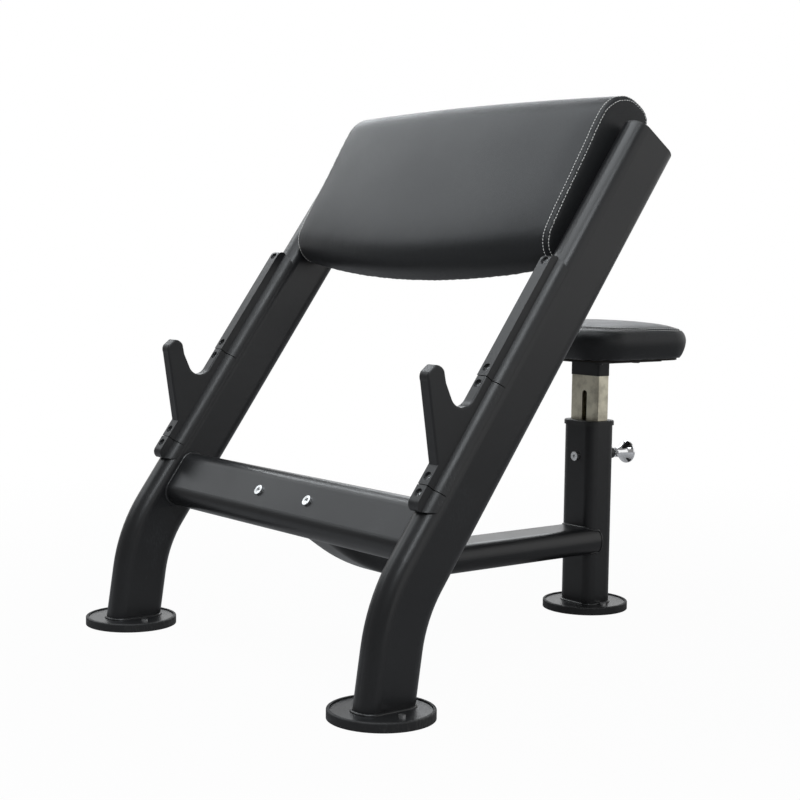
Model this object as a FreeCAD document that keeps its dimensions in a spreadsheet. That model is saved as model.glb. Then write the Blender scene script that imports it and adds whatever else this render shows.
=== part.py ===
import FreeCAD, Part
import math
import os
from types import SimpleNamespace

import Sketcher
from FreeCAD import Placement, Rotation, Vector

os.makedirs("parts", exist_ok=True)
doc = FreeCAD.newDocument("preacher_bench")

# Driving dimensions in millimetres, leans in degrees
NUMBERS = {
    # stance: two leaning uprights in front, one seat post behind
    "upright_spacing": 729,
    "base_length": 763,
    "knee_setback": 25.6,
    "knee_height": 153,
    "upright_lean_angle": 35.4,
    "leg_lean_angle": 8.5,
    "bend_radius": 240,
    "upright_rise": 845,
    # upright tube
    "tube_width": 50,
    "tube_depth": 97,
    "tube_corner": 22,
    "tube_wall": 3,
    "cap_thickness": 4,
    "cap_plug": 16,
    "cap_gap": 0.3,
    "cap_round": 2.5,
    # feet
    "shoe_diameter": 158,
    "shoe_height": 14,
    "shoe_floor": 7,
    "shoe_rim": 5,
    "shoe_round": 2,
    "plate_thickness": 5,
    "plate_gap": 0.5,
    "foot_screw_reach": 47,
    "foot_screw_shank": 6,
    "foot_screw_head": 11,
    "foot_screw_rise": 3,
    "foot_screw_length": 10,
    # cross tube and the bolted joint behind it
    "cross_height": 100,
    "cross_depth": 50,
    "cross_corner": 24,
    "cross_wall": 3,
    "cross_rise": 121.5,
    "joint_screw_reach": 69,
    "joint_screw_shank": 10,
    "joint_screw_head": 17,
    "joint_screw_rise": 3.5,
    "joint_screw_spare": 3,
    "joint_socket": 8,
    "joint_sleeve": 18,
    "joint_nut_across": 17,
    "joint_nut_thickness": 8,
    "flange_width": 184,
    "flange_height": 64,
    "flange_thickness": 8,
    "flange_corner": 10,
    # spine tube
    "spine_width": 100,
    "spine_height": 50,
    "spine_corner": 24,
    "spine_wall": 3,
    "spine_level": 131,
    "spine_bend": 320,
    "spine_lap": 24,
    # seat post tube, collar and guide
    "post_width": 80,
    "post_depth": 64,
    "post_corner": 18,
    "post_wall": 3,
    "post_top": 346,
    "collar_overhang": 2.5,
    "collar_rise": 9,
    "collar_sink": 36,
    "collar_gap": 0.2,
    "guide_drop": 12,
    "guide_shank": 10,
    "guide_head": 17,
    "guide_head_rise": 5,
    "guide_socket": 6,
    "guide_nut_diameter": 20,
    "guide_nut_thickness": 6,
    # sliding seat post
    "slide_width": 72,
    "slide_depth": 27,
    "slide_corner": 3,
    "slide_wall": 2.5,
    "slide_top": 466,
    "slide_length": 354,
    "slide_gap": 0.3,
    "slot_width": 12,
    "slot_top": 410,
    "slot_length": 230,
    "hole_pitch": 25,
    "hole_diameter": 10.6,
    "plug_rise": 30,
    "plug_foot": 8,
    "band_height": 28,
    "band_thickness": 1,
    # pull pin
    "housing_length": 30,
    "housing_diameter": 20,
    "housing_bore": 15,
    "housing_floor": 4,
    "housing_cap": 4,
    "pin_diameter": 10,
    "pin_gap": 0.05,
    "pin_clearance": 2,
    "pin_collar_diameter": 14,
    "pin_collar_thickness": 2.5,
    "pin_home_travel": 8,
    "rod_diameter": 6,
    "knob_start": 71.5,
    "knob_length": 32.5,
    "knob_neck": 18,
    "knob_flare": 43,
    "knob_lip": 5,
    "knob_sweep": 34,
    "spring_diameter": 12.4,
    "spring_wire": 1.2,
    # seat
    "seat_width": 284,
    "seat_depth": 264,
    "seat_corner": 66,
    "seat_offset": 12,
    "seat_plate_width": 190,
    "seat_plate_depth": 170,
    "seat_plate_thickness": 4,
    "seat_plate_corner": 12,
    "seat_board_thickness": 15,
    "seat_board_inset": 17,
    "seat_board_show": 1,
    "seat_cushion_height": 65,
    "seat_bolt_reach_x": 58,
    "seat_bolt_reach_y": 48,
    # arm pad
    "pad_setback": 397.5,
    "pad_height": 807,
    "pad_lean_angle": 31,
    "pad_width": 672,
    "pad_thickness": 61,
    "pad_rise": 147,
    "pad_drop": 164,
    "pad_sag": 32,
    "pad_crown": 10,
    "pad_foot_round": 40,
    "pad_head_start": 88,
    "pad_head_depth": 50,
    "pad_head_round": 62,
    "pad_roll_flat": 26,
    "pad_roll_depth": 101,
    "pad_roll_drop": 30,
    "pad_roll_round": 30,
    "pad_shelf": 100,
    "pad_board_thickness": 18,
    "pad_board_inset": 12,
    "rail_height": 50,
    "rail_thickness": 8,
    "upper_rail_rise": 50,
    "lower_rail_drop": 105,
    "pad_bolt_reach": 178,
    # board bolts and tee nuts, shared by pad and seat
    "board_bolt_shank": 8,
    "board_bolt_across": 13,
    "board_bolt_rise": 4,
    "tee_flange": 24,
    "tee_flange_thickness": 1.5,
    "tee_barrel": 11,
    "tee_length": 11,
    "board_gap": 0.2,
    # moulded guards and bar hooks on the front of each upright
    "guard_skin": 6,
    "guard_wrap": 12,
    "guard_edge": 1.5,
    "guard_gap": 0.2,
    "guard_end_drop": 14,
    "rib_width": 22,
    "rib_projection": 18,
    "rib_end_round": 12,
    "lower_guard_foot": 131,
    "hook_foot": 169.5,
    "upper_guard_foot": 356.5,
    "upper_guard_head": 577.5,
    "split_gap": 1.4,
    "prong_foot": 32,
    "prong_shoulder_along": 120,
    "prong_shoulder_out": 86,
    "prong_brow_along": 132,
    "prong_brow_out": 93,
    "prong_crest_along": 146,
    "prong_crest_out": 89,
    "prong_nape_along": 149,
    "prong_nape_out": 70,
    "prong_throat_along": 137,
    "prong_throat_out": 57,
    "prong_brow_round": 14,
    "prong_crest_round": 17,
    "notch_radius": 23,
    "notch_mouth_angle": 60,
    "hook_edge_round": 3,
    "guard_screw_inset": 14,
    "guard_screw_shank": 8,
    "guard_screw_head": 13,
    "guard_screw_rise": 6,
    "guard_screw_depth": 10.5,
    "guard_socket": 6,
    "guard_nut_diameter": 13,
    "guard_nut_thickness": 8,
    "hole_gap": 0.3,
}
overrun = 5
spring_turns = 5
socket_depth_share = 0.75

sheet = doc.addObject("Spreadsheet::Sheet", "sizes")
for row, (name, number) in enumerate(NUMBERS.items(), start=1):
    sheet.set("A%d" % row, name)
    sheet.set("B%d" % row, str(number))
    sheet.setAlias("B%d" % row, name)
doc.recompute()


class Size:
    """A number together with the sheet formula that gives it."""

    def __init__(self, number, text):
        self.number = number
        self.text = text

    def __add__(self, other):
        return Size(self.number + other.number, "(%s + %s)" % (self.text, other.text))

    def __sub__(self, other):
        return Size(self.number - other.number, "(%s - %s)" % (self.text, other.text))

    def __mul__(self, factor):
        factor = factor if isinstance(factor, Size) else Size(factor, repr(factor))
        return Size(self.number * factor.number, "(%s * %s)" % (self.text, factor.text))

    def __truediv__(self, factor):
        factor = factor if isinstance(factor, Size) else Size(factor, repr(factor))
        return Size(self.number / factor.number, "(%s / %s)" % (self.text, factor.text))

    def __neg__(self):
        return self * -1


def sine(angle):
    return Size(math.sin(math.radians(angle.number)), "sin(%s)" % angle.text)


def cosine(angle):
    return Size(math.cos(math.radians(angle.number)), "cos(%s)" % angle.text)


def tangent(angle):
    return Size(math.tan(math.radians(angle.number)), "tan(%s)" % angle.text)


def cotangent(angle):
    return Size(1 / math.tan(math.radians(angle.number)), "(1 / tan(%s))" % angle.text)


def root(square):
    return Size(math.sqrt(square.number), "sqrt(%s)" % square.text)


d = SimpleNamespace(**{name: Size(number, "sizes." + name) for name, number in NUMBERS.items()})
ZERO = Size(0, "0")
OVERRUN = Size(overrun, repr(overrun))
QUARTER_TURN = Size(90, "90")
sub_parts = []


def keep(piece, label):
    """Name a finished sub-part and put it on the list to be written."""
    piece.Label = label
    sub_parts.append(piece)
    return piece


def place(piece, x=ZERO, y=ZERO, z=ZERO, tilt=None):
    """Bind a piece's position, and its turn about X."""
    spin = Rotation() if tilt is None else Rotation(Vector(1, 0, 0), tilt.number)
    piece.Placement = Placement(Vector(x.number, y.number, z.number), spin)
    for axis, size in zip("xyz", (x, y, z)):
        piece.setExpression("Placement.Base." + axis, size.text)
    if tilt is not None:
        piece.setExpression("Placement.Rotation.Angle", tilt.text)
    return piece


def new_body(name):
    return doc.addObject("PartDesign::Body", name)


def sketch_on(body, role, offset=ZERO):
    """A sketch on one of the body's own origin planes, moved out along its normal."""
    sketch = body.newObject("Sketcher::SketchObject", body.Name + "_sketch")
    plane = next(part for part in body.Origin.OriginFeatures if part.Role == role)
    sketch.AttachmentSupport = [(plane, "")]
    sketch.MapMode = "FlatFace"
    sketch.setExpression("AttachmentOffset.Base.z", offset.text)
    return sketch


def fix(sketch, kind, place_on_curve, size):
    """Tie one coordinate of a point to the sheet."""
    if size.text == ZERO.text:
        axis = -2 if kind == "DistanceX" else -1
        sketch.addConstraint(Sketcher.Constraint("PointOnObject", *place_on_curve, axis))
        return
    index = sketch.addConstraint(Sketcher.Constraint(kind, *place_on_curve, size.number))
    sketch.setExpression("Constraints[%d]" % index, size.text)


def fix_radius(sketch, curve, size):
    index = sketch.addConstraint(Sketcher.Constraint("Radius", curve, size.number))
    sketch.setExpression("Constraints[%d]" % index, size.text)


def outline(sketch, corners, closed=True):
    """Lines and arcs through corners; a third entry is the radius of the arc that arrives there,
    positive when it turns left."""
    points = [Vector(corner[0].number, corner[1].number, 0) for corner in corners]
    count = len(corners)
    starts, ends = {}, {}
    for index in range(count if closed else count - 1):
        after = (index + 1) % count
        begin, finish = points[index], points[after]
        if len(corners[after]) == 2:
            curve = sketch.addGeometry(Part.LineSegment(begin, finish))
            starts[index], ends[after] = (curve, 1), (curve, 2)
            continue
        radius = corners[after][2]
        chord = finish - begin
        reach = math.sqrt(max(radius.number ** 2 - chord.Length ** 2 / 4, 0))
        left = Vector(-chord.y, chord.x, 0).normalize()
        centre = (begin + finish) / 2 + left * math.copysign(reach, radius.number)
        first, last = (begin, finish) if radius.number > 0 else (finish, begin)
        angles = [math.atan2(end.y - centre.y, end.x - centre.x) for end in (first, last)]
        circle = Part.Circle(centre, Vector(0, 0, 1), abs(radius.number))
        curve = sketch.addGeometry(Part.ArcOfCircle(circle, *angles))
        ends_at = (1, 2) if radius.number > 0 else (2, 1)
        starts[index], ends[after] = (curve, ends_at[0]), (curve, ends_at[1])
        fix_radius(sketch, curve, radius if radius.number > 0 else -radius)
    for index, corner in enumerate(corners):
        spot = starts.get(index) or ends.get(index)
        if index in starts and index in ends:
            sketch.addConstraint(Sketcher.Constraint("Coincident", *ends[index], *starts[index]))
        fix(sketch, "DistanceX", spot, corner[0])
        fix(sketch, "DistanceY", spot, corner[1])
    return sketch


def oblong(sketch, width, depth, corner):
    """A rectangle with rounded corners about the sketch's origin."""
    x, y = width / 2, depth / 2
    return outline(sketch, [
        (x, y - corner), (x - corner, y, corner),
        (corner - x, y), (-x, y - corner, corner),
        (-x, corner - y), (corner - x, -y, corner),
        (x - corner, -y), (x, corner - y, corner),
    ])


def ring(sketch, x, y, radius):
    """A circle at a bound point."""
    circle = sketch.addGeometry(Part.Circle(Vector(x.number, y.number, 0), Vector(0, 0, 1), radius.number))
    fix_radius(sketch, circle, radius)
    fix(sketch, "DistanceX", (circle, 3), x)
    fix(sketch, "DistanceY", (circle, 3), y)
    return sketch


def pad(body, sketch, length, middle=False, back=False):
    feature = body.newObject("PartDesign::Pad", body.Name + "_pad")
    feature.Profile = sketch
    feature.Midplane = middle
    feature.Reversed = back
    feature.setExpression("Length", length.text)
    return feature


def pocket(body, sketch, length, middle=False, back=False):
    feature = body.newObject("PartDesign::Pocket", body.Name + "_pocket")
    feature.Profile = sketch
    feature.Midplane = middle
    feature.Reversed = back
    feature.setExpression("Length", length.text)
    return feature


def hollow(body, role, offset, section, wall, length, middle=False, back=False):
    """A rounded tube: a section of width, depth and corner, and the same drawn in by the wall."""
    width, depth, corner = section
    skin = oblong(sketch_on(body, role, offset), width, depth, corner)
    pad(body, skin, length, middle, back)
    bore = oblong(sketch_on(body, role, offset), width - wall * 2, depth - wall * 2, corner - wall)
    pocket(body, bore, length, middle, not back)


def round_edges(body, radius, chosen):
    """Round the edges of the body that chosen picks."""
    doc.recompute()
    base = body.Tip
    names = ["Edge%d" % number for number, edge in enumerate(base.Shape.Edges, start=1) if chosen(edge)]
    feature = body.newObject("PartDesign::Fillet", body.Name + "_round")
    feature.Base = (base, names)
    feature.setExpression("Radius", radius.text)
    return feature


def turned(name, profile):
    """A body turned about Z from (radius, height) corners."""
    body = new_body(name)
    sketch = outline(sketch_on(body, "XZ_Plane"), profile)
    feature = body.newObject("PartDesign::Revolution", name + "_turn")
    feature.Profile = sketch
    feature.ReferenceAxis = (sketch, ["V_Axis"])
    feature.Angle = 360
    return body


def hexagon(sketch, across):
    """A hexagon about the sketch's origin, measured across its flats."""
    half = across / 2
    wide = across / math.sqrt(3)
    return outline(sketch, [(wide, ZERO), (wide / 2, half), (-wide / 2, half),
                            (-wide, ZERO), (-wide / 2, -half), (wide / 2, -half)])


def socket_screw(name, shank, length, head, rise, socket=None):
    """A screw along Z, its head standing up from zero."""
    body = turned(name, [(ZERO, -length), (shank / 2, -length), (shank / 2, ZERO),
                         (head / 2, ZERO), (head / 2, rise), (ZERO, rise)])
    if socket is not None:
        pocket(body, hexagon(sketch_on(body, "XY_Plane", rise), socket), rise * socket_depth_share)
    return body


def hex_bolt(name, shank, length, across, rise):
    body = new_body(name)
    pad(body, hexagon(sketch_on(body, "XY_Plane"), across), rise)
    pad(body, ring(sketch_on(body, "XY_Plane"), ZERO, ZERO, shank / 2), length, back=True)
    return body


def hex_nut(name, across, bore, thickness):
    body = new_body(name)
    sketch = hexagon(sketch_on(body, "XY_Plane"), across)
    pad(body, ring(sketch, ZERO, ZERO, bore / 2), thickness)
    return body


def sleeve(name, outer, bore, length):
    return turned(name, [(bore / 2, ZERO), (outer / 2, ZERO), (outer / 2, length), (bore / 2, length)])


def box(name, length, width, height):
    piece = doc.addObject("Part::Box", name)
    for side, size in zip(("Length", "Width", "Height"), (length, width, height)):
        piece.setExpression(side, size.text)
    return piece


def cut(name, base, tools):
    """The base with every tool taken out of it."""
    for number, tool in enumerate(tools, start=1):
        piece = doc.addObject("Part::Cut", "%s_cut_%d" % (name, number))
        piece.Base = base
        piece.Tool = tool
        base = piece
    return base


def group(pieces, label):
    """Identical loose pieces held together under one name."""
    bundle = doc.addObject("Part::Compound", label)
    bundle.Links = pieces
    return keep(bundle, label)


# Where the feet, the knee of the uprights and the seat post stand; the origin is the middle of the floor plan
front_axis = (d.shoe_diameter / 2 - d.base_length - d.seat_offset - d.seat_depth / 2) / 2
post_axis = front_axis + d.base_length
seat_axis = post_axis + d.seat_offset
plate_top = d.shoe_floor + d.plate_thickness
side_x = d.upright_spacing / 2
knee_y = front_axis + d.knee_setback
SIDES = (("left", -side_x), ("right", side_x))


def on_lean(x, back, along):
    """A point given across the upright's lean and along it from the knee."""
    y = knee_y + back * cosine(d.upright_lean_angle) + along * sine(d.upright_lean_angle)
    z = d.knee_height - back * sine(d.upright_lean_angle) + along * cosine(d.upright_lean_angle)
    return x, y, z


def on_pad(x, back, along):
    """A point given across the arm pad's lean and along it from the middle of its face."""
    y = front_axis + d.pad_setback + back * cosine(d.pad_lean_angle) + along * sine(d.pad_lean_angle)
    z = d.pad_height - back * sine(d.pad_lean_angle) + along * cosine(d.pad_lean_angle)
    return x, y, z


def lean(piece, x=ZERO):
    """Stand a piece, drawn with its Z along the upright, at the knee."""
    return place(piece, x, knee_y, d.knee_height, -d.upright_lean_angle)


def lean_pad(piece):
    """Stand a piece, drawn with its Z up the arm pad, at the pad's place."""
    return place(piece, *on_pad(ZERO, ZERO, ZERO), -d.pad_lean_angle)


# Uprights: rounded tubes that lean back, bend at the knee and stand on the front foot plates
screw_levels = [
    d.hook_foot - d.guard_screw_inset,
    d.hook_foot + d.guard_screw_inset,
    d.upper_guard_foot - d.guard_screw_inset,
    d.upper_guard_foot + d.guard_screw_inset,
    d.upper_guard_head - d.guard_screw_inset,
]
knee_angle = d.upright_lean_angle - d.leg_lean_angle
knee_tangent = d.bend_radius * tangent(knee_angle / 2)
leg_end = d.knee_height + d.knee_setback
tube_end = d.upright_rise - d.cap_thickness


def upright_path(body):
    """The tube's middle line from its top down to below the foot plate."""
    return outline(sketch_on(body, "YZ_Plane"), [
        (ZERO, tube_end),
        (ZERO, knee_tangent),
        (knee_tangent * sine(knee_angle), -(knee_tangent * cosine(knee_angle)), d.bend_radius),
        (leg_end * sine(knee_angle), -(leg_end * cosine(knee_angle))),
    ], closed=False)


def pipe(body, kind, section, path):
    feature = body.newObject("PartDesign::" + kind, body.Name + "_pipe")
    feature.Profile = section
    feature.Spine = (path, [])
    return feature


for side, x in SIDES:
    tube = new_body(side + "_tube")
    outer = oblong(sketch_on(tube, "XY_Plane", tube_end), d.tube_width, d.tube_depth, d.tube_corner)
    pipe(tube, "AdditivePipe", outer, upright_path(tube))
    inner = oblong(sketch_on(tube, "XY_Plane", tube_end), d.tube_width - d.tube_wall * 2,
                   d.tube_depth - d.tube_wall * 2, d.tube_corner - d.tube_wall)
    pipe(tube, "SubtractivePipe", inner, upright_path(tube))
    holes = sketch_on(tube, "XZ_Plane")
    for level in screw_levels:
        ring(holes, ZERO, level, d.guard_screw_shank / 2 + d.hole_gap)
    pocket(tube, holes, d.tube_depth, back=True)
    lean(tube, x)
    ground = box(side + "_ground", d.shoe_diameter * 2, d.shoe_diameter * 2, d.shoe_diameter)
    place(ground, x - d.shoe_diameter, front_axis - d.shoe_diameter, plate_top - d.shoe_diameter)
    keep(cut(side + "_upright", tube, [ground]), side + "_upright")

# Top caps: plastic lids with a plug inside each tube
for side, x in SIDES:
    cap = new_body(side + "_cap")
    lid = oblong(sketch_on(cap, "XY_Plane", tube_end), d.tube_width, d.tube_depth, d.tube_corner)
    pad(cap, lid, d.cap_thickness)
    shrink = (d.tube_wall + d.cap_gap) * 2
    plug = oblong(sketch_on(cap, "XY_Plane", tube_end), d.tube_width - shrink,
                  d.tube_depth - shrink, d.tube_corner - d.tube_wall - d.cap_gap)
    pad(cap, plug, d.cap_plug, back=True)
    round_edges(cap, d.cap_round, lambda edge: edge.BoundBox.ZMin > tube_end.number + d.cap_round.number)
    keep(lean(cap, x), side + "_top_cap")

# Feet: steel discs welded under the tubes, each lying in a rubber shoe and held by two screws
plate_radius = d.shoe_diameter / 2 - d.shoe_rim - d.plate_gap
shoe_recess = d.shoe_diameter / 2 - d.shoe_rim
foot_hole = d.foot_screw_shank / 2 + d.hole_gap
FEET = (("left", -side_x, front_axis), ("right", side_x, front_axis), ("rear", ZERO, post_axis))
foot_screws = []
for foot, x, y in FEET:
    shoe = turned(foot + "_shoe", [
        (ZERO, ZERO), (d.shoe_diameter / 2, ZERO),
        (d.shoe_diameter / 2, d.shoe_height - d.shoe_round),
        (d.shoe_diameter / 2 - d.shoe_round, d.shoe_height, d.shoe_round),
        (shoe_recess, d.shoe_height), (shoe_recess, d.shoe_floor), (ZERO, d.shoe_floor)])
    plate = new_body(foot + "_plate")
    disc = ring(sketch_on(plate, "XY_Plane", d.shoe_floor), ZERO, ZERO, plate_radius)
    pits = sketch_on(shoe, "XY_Plane", d.shoe_floor)
    for reach in (-d.foot_screw_reach, d.foot_screw_reach):
        ring(disc, reach, ZERO, foot_hole)
        ring(pits, reach, ZERO, foot_hole)
        screw = socket_screw(foot + "_foot_screw", d.foot_screw_shank, d.foot_screw_length,
                             d.foot_screw_head, d.foot_screw_rise)
        foot_screws.append(place(screw, x + reach, y, plate_top))
    pad(plate, disc, d.plate_thickness)
    pocket(shoe, pits, d.foot_screw_length - d.plate_thickness + d.hole_gap)
    keep(place(shoe, x, y), foot + "_foot_shoe")
    keep(place(plate, x, y), foot + "_foot_plate")
group(foot_screws, "foot_screws")

# Cross tube: flat oval tube between the uprights, its broad face along their lean
joint_hole = d.joint_screw_shank / 2 + d.hole_gap
cross_length = d.upright_spacing - d.tube_width
cross = new_body("cross")
cross_section = (d.cross_depth, d.cross_height, d.cross_corner)
hollow(cross, "YZ_Plane", ZERO, cross_section, d.cross_wall, cross_length, middle=True)
joint_holes = sketch_on(cross, "XZ_Plane")
for reach in (-d.joint_screw_reach, d.joint_screw_reach):
    ring(joint_holes, reach, ZERO, joint_hole)
pocket(cross, joint_holes, d.cross_depth * 2, middle=True)
place(cross, *on_lean(ZERO, ZERO, d.cross_rise), -d.upright_lean_angle)
keep(cross, "cross_tube")

# Bolted joint: flange behind the cross tube, with screws, inner sleeves and nuts
flange = new_body("flange")
flange_sketch = oblong(sketch_on(flange, "XZ_Plane"), d.flange_width, d.flange_height, d.flange_corner)
joint_screws, joint_sleeves, joint_nuts = [], [], []
forward = QUARTER_TURN - d.upright_lean_angle
for reach in (-d.joint_screw_reach, d.joint_screw_reach):
    ring(flange_sketch, reach, ZERO, joint_hole)
    grip = d.cross_depth + d.flange_thickness + d.joint_nut_thickness + d.joint_screw_spare
    screw = socket_screw("joint_screw", d.joint_screw_shank, grip, d.joint_screw_head,
                         d.joint_screw_rise, d.joint_socket)
    joint_screws.append(place(screw, *on_lean(reach, -d.cross_depth / 2, d.cross_rise), forward))
    spacer = sleeve("joint_sleeve", d.joint_sleeve, joint_hole * 2, d.cross_depth - d.cross_wall * 2)
    inside = d.cross_depth / 2 - d.cross_wall
    joint_sleeves.append(place(spacer, *on_lean(reach, inside, d.cross_rise), forward))
    nut = hex_nut("joint_nut", d.joint_nut_across, d.joint_screw_shank, d.joint_nut_thickness)
    nut_back = d.cross_depth / 2 + d.flange_thickness + d.joint_nut_thickness
    joint_nuts.append(place(nut, *on_lean(reach, nut_back, d.cross_rise), forward))
pad(flange, flange_sketch, d.flange_thickness, back=True)
place(flange, *on_lean(ZERO, d.cross_depth / 2, d.cross_rise), -d.upright_lean_angle)
keep(flange, "spine_flange")
group(joint_screws, "spine_screws")
group(joint_sleeves, "spine_sleeves")
group(joint_nuts, "spine_nuts")

# Spine tube: runs forward from the seat post, then rises square to the flange
_, flange_y, flange_z = on_lean(ZERO, d.cross_depth / 2 + d.flange_thickness, d.cross_rise)
spine_drop = flange_z - d.spine_level
spine_knee = flange_y + spine_drop * cotangent(d.upright_lean_angle)
spine_tangent = d.spine_bend * tangent(d.upright_lean_angle / 2)
spine_end = post_axis - d.post_depth / 2 + d.spine_lap


def spine_path(body):
    return outline(sketch_on(body, "YZ_Plane"), [
        (spine_end, d.spine_level),
        (spine_knee + spine_tangent, d.spine_level),
        (spine_knee - spine_tangent * cosine(d.upright_lean_angle),
         d.spine_level + spine_tangent * sine(d.upright_lean_angle), -d.spine_bend),
        (flange_y, flange_z),
    ], closed=False)


def spine_section(body, shrink):
    """The flat oval at the post end of the spine."""
    sketch = sketch_on(body, "XZ_Plane", -spine_end)
    sketch.setExpression("AttachmentOffset.Base.y", d.spine_level.text)
    return oblong(sketch, d.spine_width - shrink * 2, d.spine_height - shrink * 2, d.spine_corner - shrink)


spine = new_body("spine")
pipe(spine, "AdditivePipe", spine_section(spine, ZERO), spine_path(spine))
pipe(spine, "SubtractivePipe", spine_section(spine, d.spine_wall), spine_path(spine))
post_section = (d.post_width, d.post_depth, d.post_corner)
guide_height = d.post_top - d.collar_sink - d.guide_nut_diameter / 2 - d.guide_drop
post_room = new_body("post_room")
pad(post_room, oblong(sketch_on(post_room, "XY_Plane"), *post_section), d.post_top)
place(post_room, ZERO, post_axis)
keep(cut("spine_tube", spine, [post_room]), "spine_tube")

# Seat post tube: upright on the rear foot plate, drilled for the guide screw and the pin
post = new_body("post")
hollow(post, "XY_Plane", plate_top, post_section, d.post_wall, d.post_top - plate_top)
guide_hole = ring(sketch_on(post, "XZ_Plane"), ZERO, guide_height, d.guide_shank / 2)
pocket(post, guide_hole, d.post_depth, back=True)
pin_hole = ring(sketch_on(post, "XZ_Plane"), ZERO, guide_height, d.pin_diameter / 2 + d.hole_gap)
pocket(post, pin_hole, d.post_depth)
keep(place(post, ZERO, post_axis), "seat_post_tube")

# Collar: moulded bush in the mouth of the post tube, with a flange on top
collar = new_body("collar")
brim = d.collar_overhang * 2
pad(collar, oblong(sketch_on(collar, "XY_Plane", d.post_top), d.post_width + brim, d.post_depth + brim,
                   d.post_corner + d.collar_overhang), d.collar_rise)
sink = (d.post_wall + d.collar_gap) * 2
pad(collar, oblong(sketch_on(collar, "XY_Plane", d.post_top), d.post_width - sink, d.post_depth - sink,
                   d.post_corner - d.post_wall - d.collar_gap), d.collar_sink, back=True)
mouth = oblong(sketch_on(collar, "XY_Plane", d.post_top), d.slide_width + d.slide_gap * 2,
               d.slide_depth + d.slide_gap * 2, d.slide_corner)
pocket(collar, mouth, (d.collar_rise + d.collar_sink) * 2, middle=True)
round_edges(collar, d.cap_round, lambda edge: edge.BoundBox.ZMin > (d.post_top + d.cap_round).number
            and edge.BoundBox.YLength < d.post_depth.number + brim.number
            and abs(edge.CenterOfMass.y) + abs(edge.CenterOfMass.x) > d.post_depth.number / 2)
keep(place(collar, ZERO, post_axis), "post_collar")

# Guide screw: through the front of the post tube into the slot of the sliding post, with its nut inside
guide_reach = d.post_depth / 2 - d.slide_depth / 2 + d.slide_wall + d.pin_clearance
guide = socket_screw("guide", d.guide_shank, guide_reach, d.guide_head, d.guide_head_rise, d.guide_socket)
place(guide, ZERO, post_axis - d.post_depth / 2, guide_height, QUARTER_TURN)
keep(guide, "guide_screw")
guide_nut = sleeve("guide_ring", d.guide_nut_diameter, d.guide_shank, d.guide_nut_thickness)
nut_seat = post_axis - d.post_depth / 2 + d.post_wall
place(guide_nut, ZERO, nut_seat, guide_height, -QUARTER_TURN)
keep(guide_nut, "guide_nut")

# Pull pin: housing and cap on the back of the post tube, sprung pin inside, flared knob behind
housing_back = post_axis + d.post_depth / 2
pin_bore = d.pin_diameter / 2 + d.pin_gap
housing = turned("housing", [
    (pin_bore, ZERO), (d.housing_diameter / 2, ZERO), (d.housing_diameter / 2, d.housing_length),
    (d.housing_bore / 2, d.housing_length), (d.housing_bore / 2, d.housing_floor),
    (pin_bore, d.housing_floor)])
keep(place(housing, ZERO, housing_back, guide_height, -QUARTER_TURN), "pin_housing")
rod_bore = d.rod_diameter / 2 + d.pin_gap
housing_lid = turned("housing_lid", [
    (rod_bore, d.housing_length - d.housing_cap), (d.housing_bore / 2, d.housing_length - d.housing_cap),
    (d.housing_bore / 2, d.housing_length), (rod_bore, d.housing_length)])
keep(place(housing_lid, ZERO, housing_back, guide_height, -QUARTER_TURN), "pin_housing_cap")

pin_tip = d.slide_depth / 2 + d.pin_clearance - d.post_depth / 2
collar_seat = d.housing_floor + d.pin_home_travel
collar_back = collar_seat + d.pin_collar_thickness
knob_seat = d.knob_start - d.post_depth / 2
pin = turned("pin", [
    (ZERO, pin_tip), (d.pin_diameter / 2, pin_tip), (d.pin_diameter / 2, collar_seat),
    (d.pin_collar_diameter / 2, collar_seat), (d.pin_collar_diameter / 2, collar_back),
    (d.rod_diameter / 2, collar_back), (d.rod_diameter / 2, knob_seat + d.knob_length / 2),
    (ZERO, knob_seat + d.knob_length / 2)])
keep(place(pin, ZERO, housing_back, guide_height, -QUARTER_TURN), "pull_pin")
knob_end = knob_seat + d.knob_length
knob = turned("knob", [
    (d.rod_diameter / 2, knob_seat), (d.knob_neck / 2, knob_seat),
    (d.knob_neck / 2, knob_seat + d.knob_lip / 2),
    (d.knob_flare / 2, knob_end - d.knob_lip, -d.knob_sweep),
    (d.knob_flare / 2, knob_end - d.knob_lip / 2),
    (d.knob_flare / 2 - d.knob_lip / 2, knob_end, d.knob_lip / 2),
    (ZERO, knob_end), (ZERO, knob_seat + d.knob_length / 2),
    (d.rod_diameter / 2, knob_seat + d.knob_length / 2)])
keep(place(knob, ZERO, housing_back, guide_height, -QUARTER_TURN), "pull_knob")

spring_room = d.housing_length - d.housing_cap - collar_back
spring = new_body("spring")
wire = ring(sketch_on(spring, "XZ_Plane"), (d.spring_diameter - d.spring_wire) / 2, d.spring_wire / 2,
            d.spring_wire / 2)
coil = spring.newObject("PartDesign::AdditiveHelix", "spring_coil")
coil.Profile = wire
coil.ReferenceAxis = (wire, ["V_Axis"])
coil.Mode = "height-turns-angle"
coil.Turns = spring_turns
coil.setExpression("Height", (spring_room - d.spring_wire).text)
keep(place(spring, ZERO, housing_back + collar_back, guide_height, -QUARTER_TURN), "pin_spring")

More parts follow.
